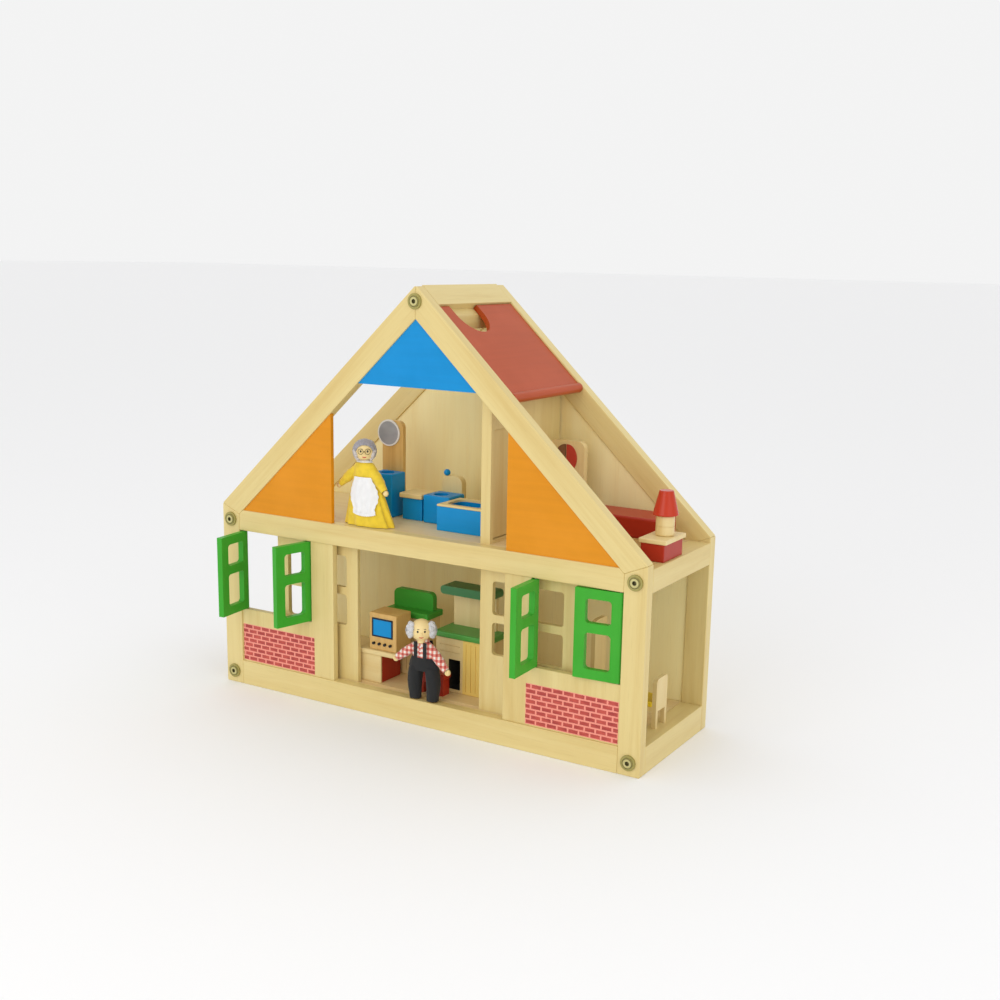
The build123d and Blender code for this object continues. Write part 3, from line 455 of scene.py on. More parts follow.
def checked_cloth(name):
    """A red and white check."""
    mat, tree, shader = new_material(name)
    vector = place(tree)
    parts = axes_of(tree, vector)
    slant = maths(tree, "ADD", parts[0], maths(tree, "MULTIPLY", parts[1], 0.6))
    across = maths(tree, "MULTIPLY", stripe_of(tree, slant), 0.5)
    up = maths(tree, "MULTIPLY", stripe_of(tree, parts[2]), 0.5)
    both = maths(tree, "ADD", across, up)
    made = ramp(tree, both, [(0.0, CHECK_WHITE), (0.5, CHECK_PINK), (1.0, CHECK_RED)])
    tree.links.new(made, shader.inputs["Base Color"])
    shader.inputs["Roughness"].default_value = CLOTH_ROUGHNESS
    shader.inputs["Sheen Weight"].default_value = 0.3
    bump(tree, shader, weave_height(tree, vector), 0.3, THREAD_RELIEF)
    return mat


def hair(name, colour):
    """Fine upright strands, with painted shade darkening the gaps between them."""
    mat, tree, shader = new_material(name)
    vector = place(tree)
    strands = noise(tree, stretched(tree, vector, (1500, 1500, 260)), 1.0, 2.0, 0.5, 1.0)
    amount = ramp(tree, strands, [(0.3, 0.0), (0.7, 1.0)])
    # The darker colour is painted shade between the strands.
    made = mix(tree, amount, [c * 0.55 for c in colour], colour)
    tree.links.new(made, shader.inputs["Base Color"])
    shader.inputs["Roughness"].default_value = 0.7
    shader.inputs["Sheen Weight"].default_value = 0.3
    bump(tree, shader, strands, 0.5, 0.0004)
    return mat


SLOPE_TURN = math.atan2(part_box("rafters")[1].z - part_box("posts")[1].z, WIDTH / 2)

MATERIALS = {
    "pine_x": wood("pine_along_x", PINE_LIGHT, PINE_DARK, "x"),
    "pine_y": wood("pine_along_y", PINE_LIGHT, PINE_DARK, "y", seed=1.7),
    "pine_z": wood("pine_along_z", PINE_LIGHT, PINE_DARK, "z", seed=2.3),
    "pine_slope": wood("pine_along_slope", PINE_LIGHT, PINE_DARK, "x", -SLOPE_TURN, 0.9),
    "plywood": back_wall("plywood"),
    "plywood_floor": wood("plywood_floor", (0.84, 0.67, 0.36), (0.74, 0.54, 0.25), "x", seed=6.4),
    "door_wood": wood("door_wood", PINE_LIGHT, PINE_DARK, "z", seed=8.1),
    "gold": wood("golden_wood", GOLD_LIGHT, GOLD_DARK, "z", seed=4.4),
    "beige": wood("beige_wood", BEIGE_LIGHT, BEIGE_DARK, "x", seed=7.7),
    "beige_z": wood("beige_wood_z", BEIGE_LIGHT, BEIGE_DARK, "z", seed=7.2),
    "brick": brick_wall("printed_brick_wall"),
    "orange": paint("orange_paint", (0.72, 0.27, 0.006), "x"),
    "blue": paint("blue_paint", (0.0, 0.26, 0.62), "x"),
    "red_roof": paint("red_roof_paint", (0.46, 0.070, 0.012), "y"),
    "red": paint("red_paint", (0.42, 0.030, 0.012), "x"),
    "lamp_red": paint("lamp_red_paint", (0.52, 0.040, 0.012), "z", 0.22),
    "green": paint("green_paint", (0.045, 0.38, 0.025), "z"),
    "cupboard_green": paint("cupboard_green_paint", (0.055, 0.34, 0.035), "x"),
    "yellow": paint("yellow_paint", (0.86, 0.62, 0.03), "x"),
    "black": paint("black_paint", (0.012, 0.012, 0.012), "x"),
    "bolt": bolt_metal("bolt_brass"),
    "barrel": metal("barrel_brass", (0.50, 0.43, 0.13), 0.36),
    "bolt_dark": metal("bolt_brass_dark", (0.16, 0.13, 0.03), 0.5),
    "steel": metal("pin_steel", (0.5, 0.5, 0.5), 0.35),
    "mirror": ringed_mirror("mirror_face"),
    "kitchen_wood": kitchen_wood("kitchen_wood"),
    "kitchen_green": two_greens("kitchen_greens"),
    "tub_rim": tub_rim("tub_rim_wood"),
    "screen_edge": paint("screen_edge_paint", (0.010, 0.022, 0.045), "x", 0.3),
    # The leaf's dark brown left half is painted shade on the red leaf.
    "leaf_shade": paint("leaf_shade_paint", (0.22, 0.10, 0.045), "z", 0.4),
    "leaf_red": paint("leaf_red_paint", (0.52, 0.05, 0.03), "z", 0.35),
    "pale_hair": hair("pale_hair", (0.72, 0.66, 0.62)),
    "white_rim": paint("white_rim", (0.80, 0.80, 0.80), "x", 0.3),
    "dress": cloth("yellow_dress_cloth", (0.88, 0.63, 0.03), 0.3),
    "apron": cloth("white_apron_cloth", (0.86, 0.86, 0.86), 0.3, shade=0.9),
    "trousers": cloth("black_trouser_cloth", (0.011, 0.012, 0.013), 0.08),
    "shirt": checked_cloth("checked_shirt_cloth"),
    "head": wood("doll_head_wood", (0.90, 0.70, 0.33), (0.85, 0.62, 0.27), "z", seed=9.0, rough=0.5),
    "grey_hair": hair("grey_hair", (0.42, 0.40, 0.44)),
    "white_hair": hair("white_hair", (0.80, 0.79, 0.80)),
    "ink": paint("face_ink", (0.02, 0.015, 0.012), "x", 0.3),
    "lips": paint("face_lips", (0.62, 0.10, 0.07), "x", 0.4),
}


def skin_node(name, material):
    """Gives a CAD node a material."""
    target = NODES[name]
    target.data.materials.clear()
    target.data.materials.append(MATERIALS[material])


NODE_LOOKS = {
    "posts": "pine_z", "bottom_rails": "pine_x", "mid_rails": "pine_x", "rafters": "pine_slope",
    "end_beams": "pine_y", "ridge_beam": "pine_y", "floors": "plywood_floor", "floor_cleats": "pine_x",
    "back_wall_panels": "plywood", "front_panels": "brick", "partition": "pine_z",
    "door_guide": "pine_x", "blue_gable_panel": "blue", "orange_corner_panels": "orange",
    "hinge_pins": "steel", "barrel_nuts": "barrel", "bolts": "bolt",
    "right_sliding_door": "door_wood", "left_sliding_door": "door_wood",
    "right_roof_flap": "red_roof", "partition_door": "pine_z",
    "left_window_left_shutter": "green", "left_window_right_shutter": "green",
    "right_window_left_shutter": "green", "right_window_right_shutter": "green",
    "bathtub_block": "blue", "bathtub_rim": "tub_rim", "toilet_seat": "blue",
    "toilet_cistern": "beige_z", "low_cabinet_box": "blue", "low_cabinet_top": "beige",
    "washbasin_cabinet": "blue", "washbasin_board": "gold", "washbasin_mirror": "mirror",
    "dresser_box": "red", "dresser_board": "beige_z", "bed_base": "beige",
    "bed_mattress": "red", "chest_box": "red", "chest_top": "beige",
    "lamp_base": "beige_z", "lamp_shade": "lamp_red",
    "tv_cabinet_box": "red", "tv_cabinet_wood": "beige", "tv_case": "gold", "tv_screen": "blue",
    "tv_knobs": "black", "cupboard_body": "beige_z", "cupboard_green": "cupboard_green",
    "kitchen_base": "kitchen_wood", "kitchen_green": "kitchen_green", "stool": "red",
    "chair_near_frame": "beige_z", "chair_near_seat": "yellow", "tall_chair": "beige_z",
    "grandmother_dress": "dress", "grandmother_head": "head",
    "grandfather_clothes": "trousers", "grandfather_head": "head",
}
for node_name, look in NODE_LOOKS.items():
    skin_node(node_name, look)


# Shapes for the loose details and the dolls


def link_object(name, data):
    """A new object in the scene."""
    made = bpy.data.objects.new(name, data)
    bpy.context.scene.collection.objects.link(made)
    return made


def ring_points(centre, across, ahead, radii, count, ripple=0.0, waves=0, phase=0.0):
    """One ring of points round centre, in the plane of two directions."""
    made = []
    for step in range(count):
        angle = 2 * math.pi * step / count
        broad = math.cos(waves * angle + phase)
        narrow = math.cos((waves + 3) * angle + phase * 2)
        swell = 1 + ripple * broad + ripple * 0.5 * narrow
        made.append(Vector(centre) + across * (radii[0] * swell * math.cos(angle))
                    + ahead * (radii[1] * swell * math.sin(angle)))
    return made


def skin_rings(bm, rings, closed=False):
    """Faces between neighbouring rings, and across the two ends if closed."""
    rows = [[bm.verts.new(point) for point in ring] for ring in rings]
    for low, high in zip(rows, rows[1:]):
        for step in range(len(low)):
            after = (step + 1) % len(low)
            bm.faces.new((low[step], low[after], high[after], high[step]))
    if closed:
        bm.faces.new(rows[0][::-1])
        bm.faces.new(rows[-1])


def skin_grid(bm, rows):
    """Faces between neighbouring rows of points, open all round."""
    grid = [[bm.verts.new(point) for point in row] for row in rows]
    for low, high in zip(grid, grid[1:]):
        for a, b, c, d in zip(low, low[1:], high[1:], high):
            bm.faces.new((a, b, c, d))


def tube(bm, path, radii, count=16, wrinkle=0.0, closed=True):
    """A tube along a path of points, with a radius at each, and soft wrinkles across it."""
    points = [Vector(p) for p in path]
    rings = []
    for index, point in enumerate(points):
        after = points[min(index + 1, len(points) - 1)]
        before = points[max(index - 1, 0)]
        ahead = (after - before).normalized()
        side = ahead.cross(Vector((0.0, 1.0, 0.03))).normalized()
        up = side.cross(ahead).normalized()
        swell = 1 + wrinkle * math.sin(index * 2.1)
        radius = radii[index] * swell
        rings.append(ring_points(point, side, up, (radius, radius), count, wrinkle * 0.4, 5, index * 1.3))
    skin_rings(bm, rings, closed)


def along(start, end, count):
    """Evenly spaced points on a straight line."""
    start, end = Vector(start), Vector(end)
    return [start.lerp(end, step / (count - 1)) for step in range(count)]


def blob(bm, centre, radii, lump=0.0, scale=400.0, turn=0.0, detail=3):
    """A lumpy rounded form; lump is how far its surface moves in and out."""
    made = bmesh.ops.create_icosphere(bm, subdivisions=detail, radius=1.0)
    spin = Matrix.Rotation(turn, 3, "Z")
    for vert in made["verts"]:
        local = Vector(vert.co)
        point = spin @ Vector((local.x * radii[0], local.y * radii[1], local.z * radii[2]))
        place_now = Vector(centre) + point
        vert.co = place_now + local * lump * noise3.noise(place_now * scale)


def new_piece(name, build, materials, body, smooth=True):
    """Runs build on a new bmesh and makes it a piece that rides on body."""
    bm = bmesh.new()
    build(bm)
    bmesh.ops.recalc_face_normals(bm, faces=bm.faces)
    mesh = bpy.data.meshes.new(name)
    bm.to_mesh(mesh)
    bm.free()
    for material in materials:
        mesh.materials.append(MATERIALS[material])
    for face in mesh.polygons:
        face.use_smooth = smooth
    piece = link_object(name, mesh)
    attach(piece, body)
    return piece


# Details on the furniture

SCREEN_LOW, SCREEN_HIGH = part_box("tv_screen")
BEZEL_WIDTH, BEZEL_HALF_DEPTH, BEZEL_ROUND = 1.7 * MM, 0.6 * MM, 0.3 * MM
BOARD_LOW, BOARD_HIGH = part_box("dresser_board")
LEAF_HALF_WIDTH, LEAF_HALF_HEIGHT, LEAF_GAP = 13 * MM, 16 * MM, 0.7 * MM
LEAF_BELOW_TOP, LEAF_THICKNESS, LEAF_SETTLE = 20 * MM, 1.6 * MM, 0.05 * MM


def bar(bm, low, high, soft):
    """A box with its edges rounded."""
    made = bmesh.ops.create_cube(bm, size=1.0)
    low, high = Vector(low), Vector(high)
    for vert in made["verts"]:
        vert.co = Vector([(low[i] + high[i]) / 2 + vert.co[i] * (high[i] - low[i]) for i in range(3)])
    edges = list({edge for vert in made["verts"] for edge in vert.link_edges})
    bmesh.ops.bevel(bm, geom=edges, offset=soft, segments=2, affect="EDGES", profile=0.6)


def tv_bezel(bm):
    """A dark frame round the screen."""
    front, back = SCREEN_LOW.y - BEZEL_HALF_DEPTH, SCREEN_LOW.y + BEZEL_HALF_DEPTH
    left, right, low, high = SCREEN_LOW.x, SCREEN_HIGH.x, SCREEN_LOW.z, SCREEN_HIGH.z
    bar(bm, (left, front, low), (left + BEZEL_WIDTH, back, high), BEZEL_ROUND)
    bar(bm, (right - BEZEL_WIDTH, front, low), (right, back, high), BEZEL_ROUND)
    bar(bm, (left, front, low), (right, back, low + BEZEL_WIDTH), BEZEL_ROUND)
    bar(bm, (left, front, high - BEZEL_WIDTH), (right, back, high), BEZEL_ROUND)


def leaf_half(bm, side, slot):
    """Half of a leaf-shaped plate, on one side of its middle line."""
    centre_x = (BOARD_LOW.x + BOARD_HIGH.x) / 2
    centre_z = BOARD_HIGH.z - LEAF_BELOW_TOP
    front, back = BOARD_LOW.y - LEAF_THICKNESS, BOARD_LOW.y - LEAF_SETTLE
    steps = 18
    rim = []
    for step in range(steps + 1):
        angle = math.pi * step / steps
        wide = LEAF_GAP + LEAF_HALF_WIDTH * math.sin(angle) ** 0.9
        rim.append((centre_x + side * wide, centre_z + LEAF_HALF_HEIGHT * math.cos(angle)))
    front_row = [bm.verts.new((x, front, z)) for x, z in rim]
    back_row = [bm.verts.new((x, back, z)) for x, z in rim]
    bm.faces.new(front_row).material_index = slot
    for step in range(steps):
        quad = (front_row[step], front_row[step + 1], back_row[step + 1], back_row[step])
        bm.faces.new(quad).material_index = slot
    edge = (front_row[0], front_row[-1], back_row[-1], back_row[0])
    bm.faces.new(edge).material_index = slot


def dresser_leaf(bm):
    """A leaf-shaped plate, red on the right, its left half dark brown as painted shade on that side."""
    leaf_half(bm, -1, 0)
    leaf_half(bm, 1, 1)


new_piece("tv_bezel", tv_bezel, ["screen_edge"], "television_body")
new_piece("dresser_leaf", dresser_leaf, ["leaf_shade", "leaf_red"], "dresser_body", smooth=False)


# The dolls: both look ahead and to the right of the house's front

HEAD_TURN = math.radians(34)
X_AXIS, Y_AXIS = Vector((1, 0, 0)), Vector((0, 1, 0))
EYE_ANGLES = (-19, 19)


def face_point(centre, radius, right, up, out=0.0):
    """A point on the face, right and up of its middle by angles in degrees."""
    turn = HEAD_TURN + math.radians(right)
    lift = math.radians(up)
    ahead = Vector((math.sin(turn) * math.cos(lift), -math.cos(turn) * math.cos(lift), math.sin(lift)))
    return centre + ahead * (radius + out)


def eyes_and_mouth(centre, radius, prefix, body):
    """Ink eyes, a round nose and a small red mouth on the wooden ball."""
    def eyes(bm):
        """Two eyes, each with a short brow."""
        for right in EYE_ANGLES:
            turn = HEAD_TURN + math.radians(right)
            eye = face_point(centre, radius, right, 4, -0.2 * MM)
            brow = face_point(centre, radius, right + 2, 17, -0.1 * MM)
            blob(bm, eye, (1.25 * MM, 0.55 * MM, 1.45 * MM), turn=turn, detail=2)
            blob(bm, brow, (1.7 * MM, 0.35 * MM, 0.35 * MM), turn=turn, detail=2)

    def mouth(bm):
        """A small smile."""
        angles = range(-13, 14, 2)
        points = [face_point(centre, radius, right, -27 - 4 * math.cos(math.radians(right * 6)),
                             0.05 * MM) for right in angles]
        last = len(points) - 1
        radii = [(0.3 + 0.45 * math.sin(math.pi * step / last)) * MM for step in range(last + 1)]
        tube(bm, points, radii, 8)

    def nose(bm):
        """A round nose."""
        blob(bm, face_point(centre, radius, 0, -6, 0.2 * MM), (1.5 * MM, 1.4 * MM, 1.3 * MM), 0.05 * MM)

    new_piece(prefix + "_eyes", eyes, ["ink"], body)
    new_piece(prefix + "_mouth", mouth, ["lips"], body)
    new_piece(prefix + "_nose", nose, ["head"], body)


# Grandmother

GM_BODY = "grandmother_body"
GM_HEAD_LOW, GM_HEAD_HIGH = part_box("grandmother_head")
GM_X = (GM_HEAD_LOW.x + GM_HEAD_HIGH.x) / 2
GM_Y = FRONT + 22 * MM
GM_HEAD = Vector((GM_X, GM_Y, UPPER + 86 * MM))
GM_HEAD_RADIUS = 12 * MM
GM_LEAN = 7 * MM
GM_NECK_HEIGHT = 72
# Rings of the dress from the hem up, in millimetres: height, half width, half depth, ripple
SKIRT = ((0.6, 33.0, 14.0, 0.055), (4, 32.0, 13.8, 0.055), (12, 29.5, 13.0, 0.052), (24, 26.0, 12.0, 0.045),
         (36, 22.6, 11.0, 0.034), (46, 19.6, 10.0, 0.028), (54, 17.2, 9.0, 0.016), (60, 16.4, 8.4, 0.008),
         (66, 16.0, 8.0, 0.004), (71, 12.6, 6.8, 0.004), (74.5, 5.6, 4.6, 0.0))


def gm_middle(height):
    """The dress's middle at a height in millimetres: the hem stands to the right of the head."""
    return GM_X + GM_LEAN * max(0.0, 1.0 - height / GM_NECK_HEIGHT)


def skirt_radii(height):
    """The dress's half width and half depth at a height above the floor, in millimetres."""
    for (z0, a0, b0, _), (z1, a1, b1, _) in zip(SKIRT, SKIRT[1:]):
        if z0 <= height <= z1:
            part = (height - z0) / (z1 - z0)
            return a0 + (a1 - a0) * part, b0 + (b1 - b0) * part
    return SKIRT[0][1], SKIRT[0][2]


def sleeve(bm, shoulder, wrist, start, middle, end):
    """A gathered sleeve, full in the middle and drawn in at the cuff."""
    count = 12
    radii = []
    for step in range(count):
        part = step / (count - 1)
        full = start + (middle - start) * math.sin(math.pi * min(part * 1.15, 1.0))
        radii.append(full + (end - start) * part ** 3)
    tube(bm, along(shoulder, wrist, count), radii, 18, 0.05, False)


GM_FEET = Vector((GM_X, GM_Y, UPPER))
# Each arm's shoulder and wrist
GM_ARMS = ((GM_FEET + Vector((-10.5, 0, 65)) * MM, GM_FEET + Vector((-32.5, -3, 45)) * MM),
           (GM_FEET + Vector((10.5, 0, 65)) * MM, GM_FEET + Vector((30.5, -3, 42)) * MM))


def gm_dress(bm):
    """A gathered skirt and bodice, with two sleeves."""
    rings = []
    for index, (height, wide, deep, ripple) in enumerate(SKIRT):
        rings.append(ring_points((gm_middle(height), GM_Y, UPPER + height * MM), X_AXIS, Y_AXIS,
                                 (wide * MM, deep * MM), 96, ripple, 11, 0.35 * index))
    skin_rings(bm, rings)
    for shoulder, wrist in GM_ARMS:
        sleeve(bm, shoulder, wrist, 4.8 * MM, 6.2 * MM, 3.8 * MM)


def apron_point(across, height, out=1.1):
    """A point on the apron, which lies on the front of the skirt."""
    wide, deep = skirt_radii(height)
    angle = -math.pi / 2 + across
    swell = 1.055
    return Vector((gm_middle(height) + wide * MM * swell * math.cos(angle),
                   GM_Y + (deep * swell + out) * MM * math.sin(angle), UPPER + height * MM))


APRON_TOP, APRON_LENGTH, APRON_ASIDE, LACE_HALF = 57, 42, 0.12, 0.54


def gm_apron(bm):
    """A gathered white apron with a scalloped edge."""
    columns, rows = 44, 26
    grid = []
    for row in range(rows + 1):
        part = row / rows
        height = APRON_TOP - APRON_LENGTH * part
        half = 0.66 + 0.34 * math.sin(math.pi * min(part * 1.2, 1.0)) - 0.12 * part
        line = []
        for column in range(columns + 1):
            side = column / columns * 2 - 1
            drop = (1.4 * abs(math.sin(side * math.pi * 4.5)) + 4.0 * side * side) * part ** 6
            edge = 1.0 + 0.035 * math.sin(part * 40) * (abs(side) > 0.97)
            fold = 0.45 * math.sin(side * 13 + part * 2) * (0.25 + part)
            across = APRON_ASIDE + half * side * edge
            line.append(apron_point(across, height + drop * 0.6, 1.3 + fold))
        grid.append(line)
    skin_grid(bm, grid)


def gm_lace(bm):
    """A ruffle along the apron's lower edge."""
    columns, rows = 90, 3
    grid = []
    for row in range(rows + 1):
        line = []
        for column in range(columns + 1):
            side = column / columns * 2 - 1
            wave = math.sin(side * math.pi * 14) * row / rows
            height = 16.2 - row * 1.1 + 2.4 * side * side + 0.35 * wave
            line.append(apron_point(APRON_ASIDE + LACE_HALF * side, height, 1.8 + 0.55 * wave))
        grid.append(line)
    skin_grid(bm, grid)


def gm_collar(bm):
    """A white lace frill round the neck."""
    rings = []
    for step in range(5):
        part = step / 4
        radius = (4.2 + 6.2 * part) * MM
        height = UPPER + (76.0 - 2.6 * part * part) * MM
        rings.append(ring_points((GM_X, GM_Y, height), X_AXIS, Y_AXIS,
                                 (radius, radius * 0.74), 96, 0.05 * part, 16))
    skin_rings(bm, rings)


def gm_hands(bm):
    """A rounded hand beyond each cuff."""
    for shoulder, wrist in GM_ARMS:
        ahead = (wrist - shoulder).normalized()
        blob(bm, wrist + ahead * 2.6 * MM, (3.3 * MM, 2.8 * MM, 3.5 * MM), 0.25 * MM)


def gm_hair(bm):
    """Grey hair round the face, combed back to a bun."""
    made = bmesh.ops.create_icosphere(bm, subdivisions=5, radius=1.0)
    front = Vector((math.sin(HEAD_TURN), -math.cos(HEAD_TURN), -0.22)).normalized()
    across = front.cross(Vector((0, 0, 1)))
    hidden = []
    for vert in made["verts"]:
        direction = Vector(vert.co)
        facing = direction.dot(front)
        strands = math.sin(math.atan2(direction.z, direction.dot(across)) * 26)
        lump = 0.45 * noise3.noise(direction * 6) + 0.16 * strands
        thick = 1.9 if facing < 0.56 else 0.9
        vert.co = GM_HEAD + direction * (GM_HEAD_RADIUS + (thick + lump) * MM)
        if facing > 0.66 or direction.z < -0.52:
            hidden.append(vert)
    bmesh.ops.delete(bm, geom=hidden, context="VERTS")
    bun = GM_FEET + Vector((0, 8, 91)) * MM
    blob(bm, bun, (7.2 * MM, 7.2 * MM, 7.1 * MM), 0.7 * MM, 500)


def gm_curls(bm):
    """Pale curls at both cheeks."""
    for side in (-1, 1):
        for step in range(5):
            right = side * (56 + 5 * math.sin(step * 2))
            point = face_point(GM_HEAD, GM_HEAD_RADIUS, right, -42 + step * 11, 0.6 * MM)
            blob(bm, point, (2.3 * MM, 2.0 * MM, 2.2 * MM), 0.5 * MM, 900)


def gm_glasses(bm):
    """Round wire glasses."""
    wire, lens, steps = 0.28 * MM, 14, 24
    for right in EYE_ANGLES:
        points = []
        for step in range(steps + 1):
            angle = math.tau * step / steps
            points.append(face_point(GM_HEAD, GM_HEAD_RADIUS, right + lens * math.cos(angle),
                                     3 + lens * math.sin(angle), 1.1 * MM))
        tube(bm, points, [wire] * len(points), 8)
    bridge = [face_point(GM_HEAD, GM_HEAD_RADIUS, right, 4, 1.3 * MM) for right in (-5, 0, 5)]
    tube(bm, bridge, [wire] * len(bridge), 8)


dress = new_piece("grandmother_gown", gm_dress, ["dress"], GM_BODY)
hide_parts("grandmother_dress")
apron = new_piece("grandmother_apron", gm_apron, ["apron"], GM_BODY)
lace = new_piece("grandmother_apron_lace", gm_lace, ["apron"], GM_BODY)
collar = new_piece("grandmother_collar", gm_collar, ["apron"], GM_BODY)
new_piece("grandmother_hands", gm_hands, ["head"], GM_BODY)
new_piece("grandmother_hair", gm_hair, ["grey_hair"], GM_BODY)
new_piece("grandmother_curls", gm_curls, ["pale_hair"], GM_BODY)
new_piece("grandmother_glasses", gm_glasses, ["bolt_dark"], GM_BODY)
eyes_and_mouth(GM_HEAD, GM_HEAD_RADIUS, "grandmother", GM_BODY)

# Grandfather

GF_BODY = "grandfather_body"
GF_HEAD_LOW, GF_HEAD_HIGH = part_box("grandfather_head")
GF_X = (GF_HEAD_LOW.x + GF_HEAD_HIGH.x) / 2
GF_Y = FRONT + 6.3 * MM
GF_HEAD_RADIUS = 12.5 * MM
GF_HEAD = Vector((GF_X, GF_HEAD_LOW.y + GF_HEAD_RADIUS, GROUND + 85 * MM))
GF_FEET = Vector((GF_X, GF_Y, GROUND))
GF_HAIR_BACK = FRONT + 14.4 * MM
HIP_HEIGHT, TORSO_HEIGHT, FORWARD = 36, 34, 2.0 * MM
# Rings from the bottom up, in millimetres: height, distance from the middle, radius
LEG = ((1.5, 11.8, 6.5), (6, 12.0, 6.8), (14, 12.6, 7.3), (22, 12.6, 7.9), (30, 12.0, 8.1),
       (37, 11.0, 8.1), (41, 9.6, 7.6))
# Rings from the bottom up, in millimetres: height, half width, half depth
HIPS = ((36.5, 19.4, 7.9), (40, 19.8, 8.0), (45, 18.4, 8.0), (49, 16.6, 7.9), (52.5, 15.4, 7.7))
SHIRT = ((47, 14.6, 7.4), (51, 14.6, 7.4), (57, 14.6, 7.0), (63, 14.6, 6.6), (67.5, 12.8, 6.2),
         (70.5, 7.0, 5.0), (72, 4.6, 4.2))
# Each arm's shoulder and wrist
GF_ARMS = ((GF_FEET + Vector((-10, -2, 64)) * MM, GF_FEET + Vector((-34, -4.4, 46.5)) * MM),
           (GF_FEET + Vector((10, -2, 64)) * MM, GF_FEET + Vector((33, -4.4, 42)) * MM))


def gf_middle(height):
    """The body's middle at a height in millimetres; he leans a little forward above the hips."""
    lean = -FORWARD * max(0.0, (height - HIP_HEIGHT) / TORSO_HEIGHT)
    return GF_FEET + Vector((0, lean, height * MM))


def gf_rings(bm, rows, ripple):
    """A skin over rings of the trousers' hips or of the shirt."""
    rings = []
    for index, (height, wide, deep) in enumerate(rows):
        rings.append(ring_points(gf_middle(height), X_AXIS, Y_AXIS, (wide * MM, deep * MM), 72,
                                 ripple, 9, index * 0.9))
    skin_rings(bm, rings)


def gf_trousers(bm):
    """Two wide legs and the hips."""
    for side in (-1, 1):
        rings = []
        for index, (height, off, radius) in enumerate(LEG):
            centre = GF_FEET + Vector((side * off, 0, height)) * MM
            rings.append(ring_points(centre, X_AXIS, Y_AXIS, (radius * 1.08 * MM, radius * MM), 48,
                                     0.03, 6, index * 1.1 + side))
        skin_rings(bm, rings)
    gf_rings(bm, HIPS, 0.022)


def gf_shirt(bm):
    """The shirt's body and its two sleeves."""
    gf_rings(bm, SHIRT, 0.012)
    for shoulder, wrist in GF_ARMS:
        sleeve(bm, shoulder, wrist, 4.6 * MM, 5.6 * MM, 4.2 * MM)


def gf_collar(bm):
    """A turned-down collar."""
    rings = []
    neck = gf_middle(72)
    for step in range(4):
        part = step / 3
        radius = (4.6 + 3.6 * part) * MM
        height = GROUND + (73.6 - 2.0 * part * part) * MM
        rings.append(ring_points((neck.x, neck.y, height), X_AXIS, Y_AXIS,
                                 (radius, radius * 0.74), 48, 0.04 * part, 7))
    skin_rings(bm, rings)


BRACE_X, BRACE_OUT = 6.3, 0.9
BRACE_ACROSS = (-2.4, -0.8, 0.8, 2.4)


def gf_braces(bm):
    """Two straps over the shirt, front and back."""
    for side in (-1, 1):
        for facing in (-1, 1):
            rows = []
            for height in range(49, 72, 2):
                wide, deep = next((a, b) for z, a, b in SHIRT if z >= height - 4)
                x = side * BRACE_X
                y = facing * (deep * math.sqrt(max(0.0, 1 - (x / wide) ** 2)) + BRACE_OUT)
                middle = gf_middle(height)
                rows.append([middle + Vector((x + aside, y, 0)) * MM for aside in BRACE_ACROSS])
            skin_grid(bm, rows)


def gf_buttons(bm):
    """Three buttons down the shirt's front."""
    for height in (55, 60, 65):
        depth = next(deep for z, _, deep in SHIRT if z >= height)
        place_now = gf_middle(height) - Vector((0, depth + 0.2, 0)) * MM
        blob(bm, place_now, (1.1 * MM, 0.6 * MM, 1.1 * MM), 0.05 * MM, detail=2)


def gf_hands(bm):
    """A rounded hand with a thumb beyond each cuff."""
    for shoulder, wrist in GF_ARMS:
        ahead = (wrist - shoulder).normalized()
        thumb = wrist + ahead * 2.4 * MM + Vector((0, -2.2, 1.2)) * MM
        blob(bm, wrist + ahead * 2.6 * MM, (3.7 * MM, 3.0 * MM, 3.9 * MM), 0.3 * MM)
        blob(bm, thumb, (1.4 * MM, 2.0 * MM, 1.3 * MM), 0.1 * MM)


def gf_feet(bm):
    """The tips of his feet under the trousers."""
    for side in (-1, 1):
        foot = GF_FEET + Vector((side * 11.2, -0.6, 2.4)) * MM
        blob(bm, foot, (4.9 * MM, 5.6 * MM, 2.3 * MM), 0.15 * MM)


def gf_hair(bm):
    """Big white tufts over both ears, and a thin rim behind, clear of the sliding doors."""
    for side in (-1, 1):
        for ring in range(3):
            for step in range(7):
                angle = math.tau * step / 7 + ring
                right = side * (72 + 13 * math.cos(angle) * ring / 1.4)
                up = 6 + 22 * math.sin(angle) * ring / 1.6
                point = face_point(GF_HEAD, GF_HEAD_RADIUS, right, up, (2.6 - ring * 0.5) * MM)
                blob(bm, point, (3.4 * MM, 3.2 * MM, 3.6 * MM), 1.1 * MM, 700)
    for step in range(9):
        point = face_point(GF_HEAD, GF_HEAD_RADIUS, 100 + step * 20, 4, 0.6 * MM)
        blob(bm, point, (3.2 * MM, 3.0 * MM, 4.6 * MM), 0.8 * MM, 700)
    for vert in bm.verts:
        vert.co.y = min(vert.co.y, GF_HAIR_BACK)


trousers = new_piece("grandfather_trousers", gf_trousers, ["trousers"], GF_BODY)
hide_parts("grandfather_clothes")
shirt = new_piece("grandfather_shirt", gf_shirt, ["shirt"], GF_BODY)
gf_collar_piece = new_piece("grandfather_collar", gf_collar, ["shirt"], GF_BODY)
braces = new_piece("grandfather_braces", gf_braces, ["trousers"], GF_BODY)
new_piece("grandfather_buttons", gf_buttons, ["white_rim"], GF_BODY)
new_piece("grandfather_hands", gf_hands, ["head"], GF_BODY)
new_piece("grandfather_feet", gf_feet, ["head"], GF_BODY)
new_piece("grandfather_hair", gf_hair, ["white_hair"], GF_BODY)
eyes_and_mouth(GF_HEAD, GF_HEAD_RADIUS, "grandfather", GF_BODY)


# Stage, lights and camera


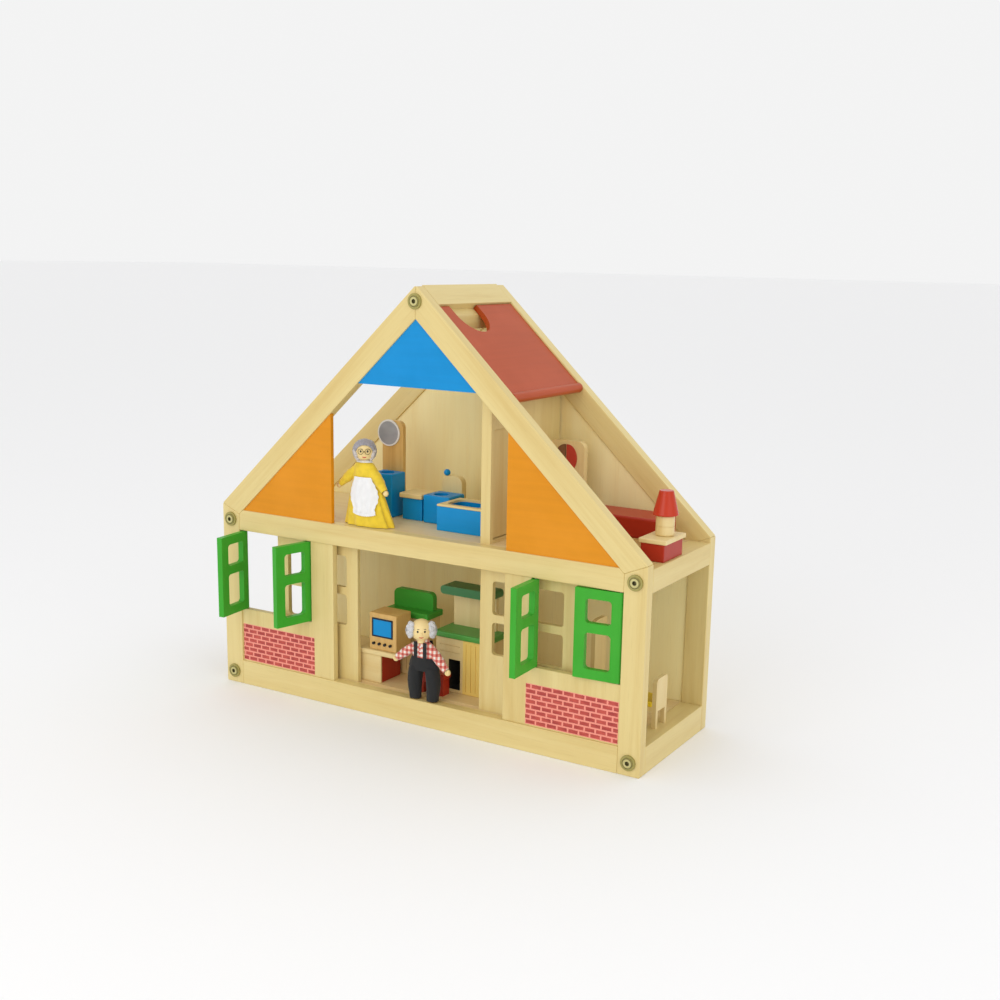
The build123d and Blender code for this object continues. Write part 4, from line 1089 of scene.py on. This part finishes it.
def make_stage():
    """A wide white floor."""
    plane = bpy.data.meshes.new("studio_floor")
    size = 40.0
    corners = [(-size, -size, 0), (size, -size, 0), (size, size, 0), (-size, size, 0)]
    plane.from_pydata(corners, [], [(0, 1, 2, 3)])
    floor = link_object("studio_floor", plane)
    mat, _, shader = new_material("studio_floor")
    shader.inputs["Base Color"].default_value = (0.95, 0.95, 0.955, 1)
    shader.inputs["Roughness"].default_value = 0.8
    plane.materials.append(mat)


def area_light(name, location, target, size, power, colour):
    """A square lamp that faces target."""
    data = bpy.data.lights.new(name, "AREA")
    data.size = size
    data.energy = power
    data.color = colour
    lamp = link_object(name, data)
    lamp.location = location
    facing = Vector(target) - Vector(location)
    lamp.rotation_euler = facing.to_track_quat("-Z", "Y").to_euler()


def make_lights():
    """A bright white surround, a key lamp in front and a fill lamp on the right."""
    world = bpy.data.worlds.new("studio")
    bpy.context.scene.world = world
    world.use_nodes = True
    background = world.node_tree.nodes["Background"]
    background.inputs[0].default_value = (1.0, 1.0, 1.0, 1)
    background.inputs[1].default_value = 0.90
    target = (0, 0, 0.2)
    area_light("key", (-0.1, -2.3, 1.3), target, 1.3, 11, (1.0, 0.98, 0.95))
    area_light("fill", (1.9, -0.8, 0.8), target, 1.4, 4, (0.98, 0.99, 1.0))


CAMERA_PLACE = (0.7969, FRONT - 1.1383, 0.5278)
CAMERA_YAW, CAMERA_PITCH, CAMERA_ROLL = -30.42, -12.23, 1.17


def make_camera():
    """The camera stands to the right of the house and a little above its roof."""
    data = bpy.data.cameras.new("camera")
    camera = link_object("camera", data)
    yaw = math.radians(CAMERA_YAW)
    pitch = math.radians(CAMERA_PITCH)
    roll = math.radians(CAMERA_ROLL)
    camera.location = CAMERA_PLACE
    flat = math.cos(pitch)
    forward = Vector((math.sin(yaw) * flat, math.cos(yaw) * flat, math.sin(pitch)))
    right = Vector((math.cos(yaw), -math.sin(yaw), 0.0))
    up = right.cross(forward)
    turned_right = math.cos(roll) * right + math.sin(roll) * up
    turned_up = -math.sin(roll) * right + math.cos(roll) * up
    camera.rotation_euler = Matrix((turned_right, turned_up, -forward)).transposed().to_euler()
    data.sensor_width = 36.0
    data.lens = 45.9
    data.shift_x = -0.014
    data.shift_y = 0.033
    bpy.context.scene.camera = camera


make_stage()
make_lights()
make_camera()
bpy.context.scene.view_settings.view_transform = "Standard"
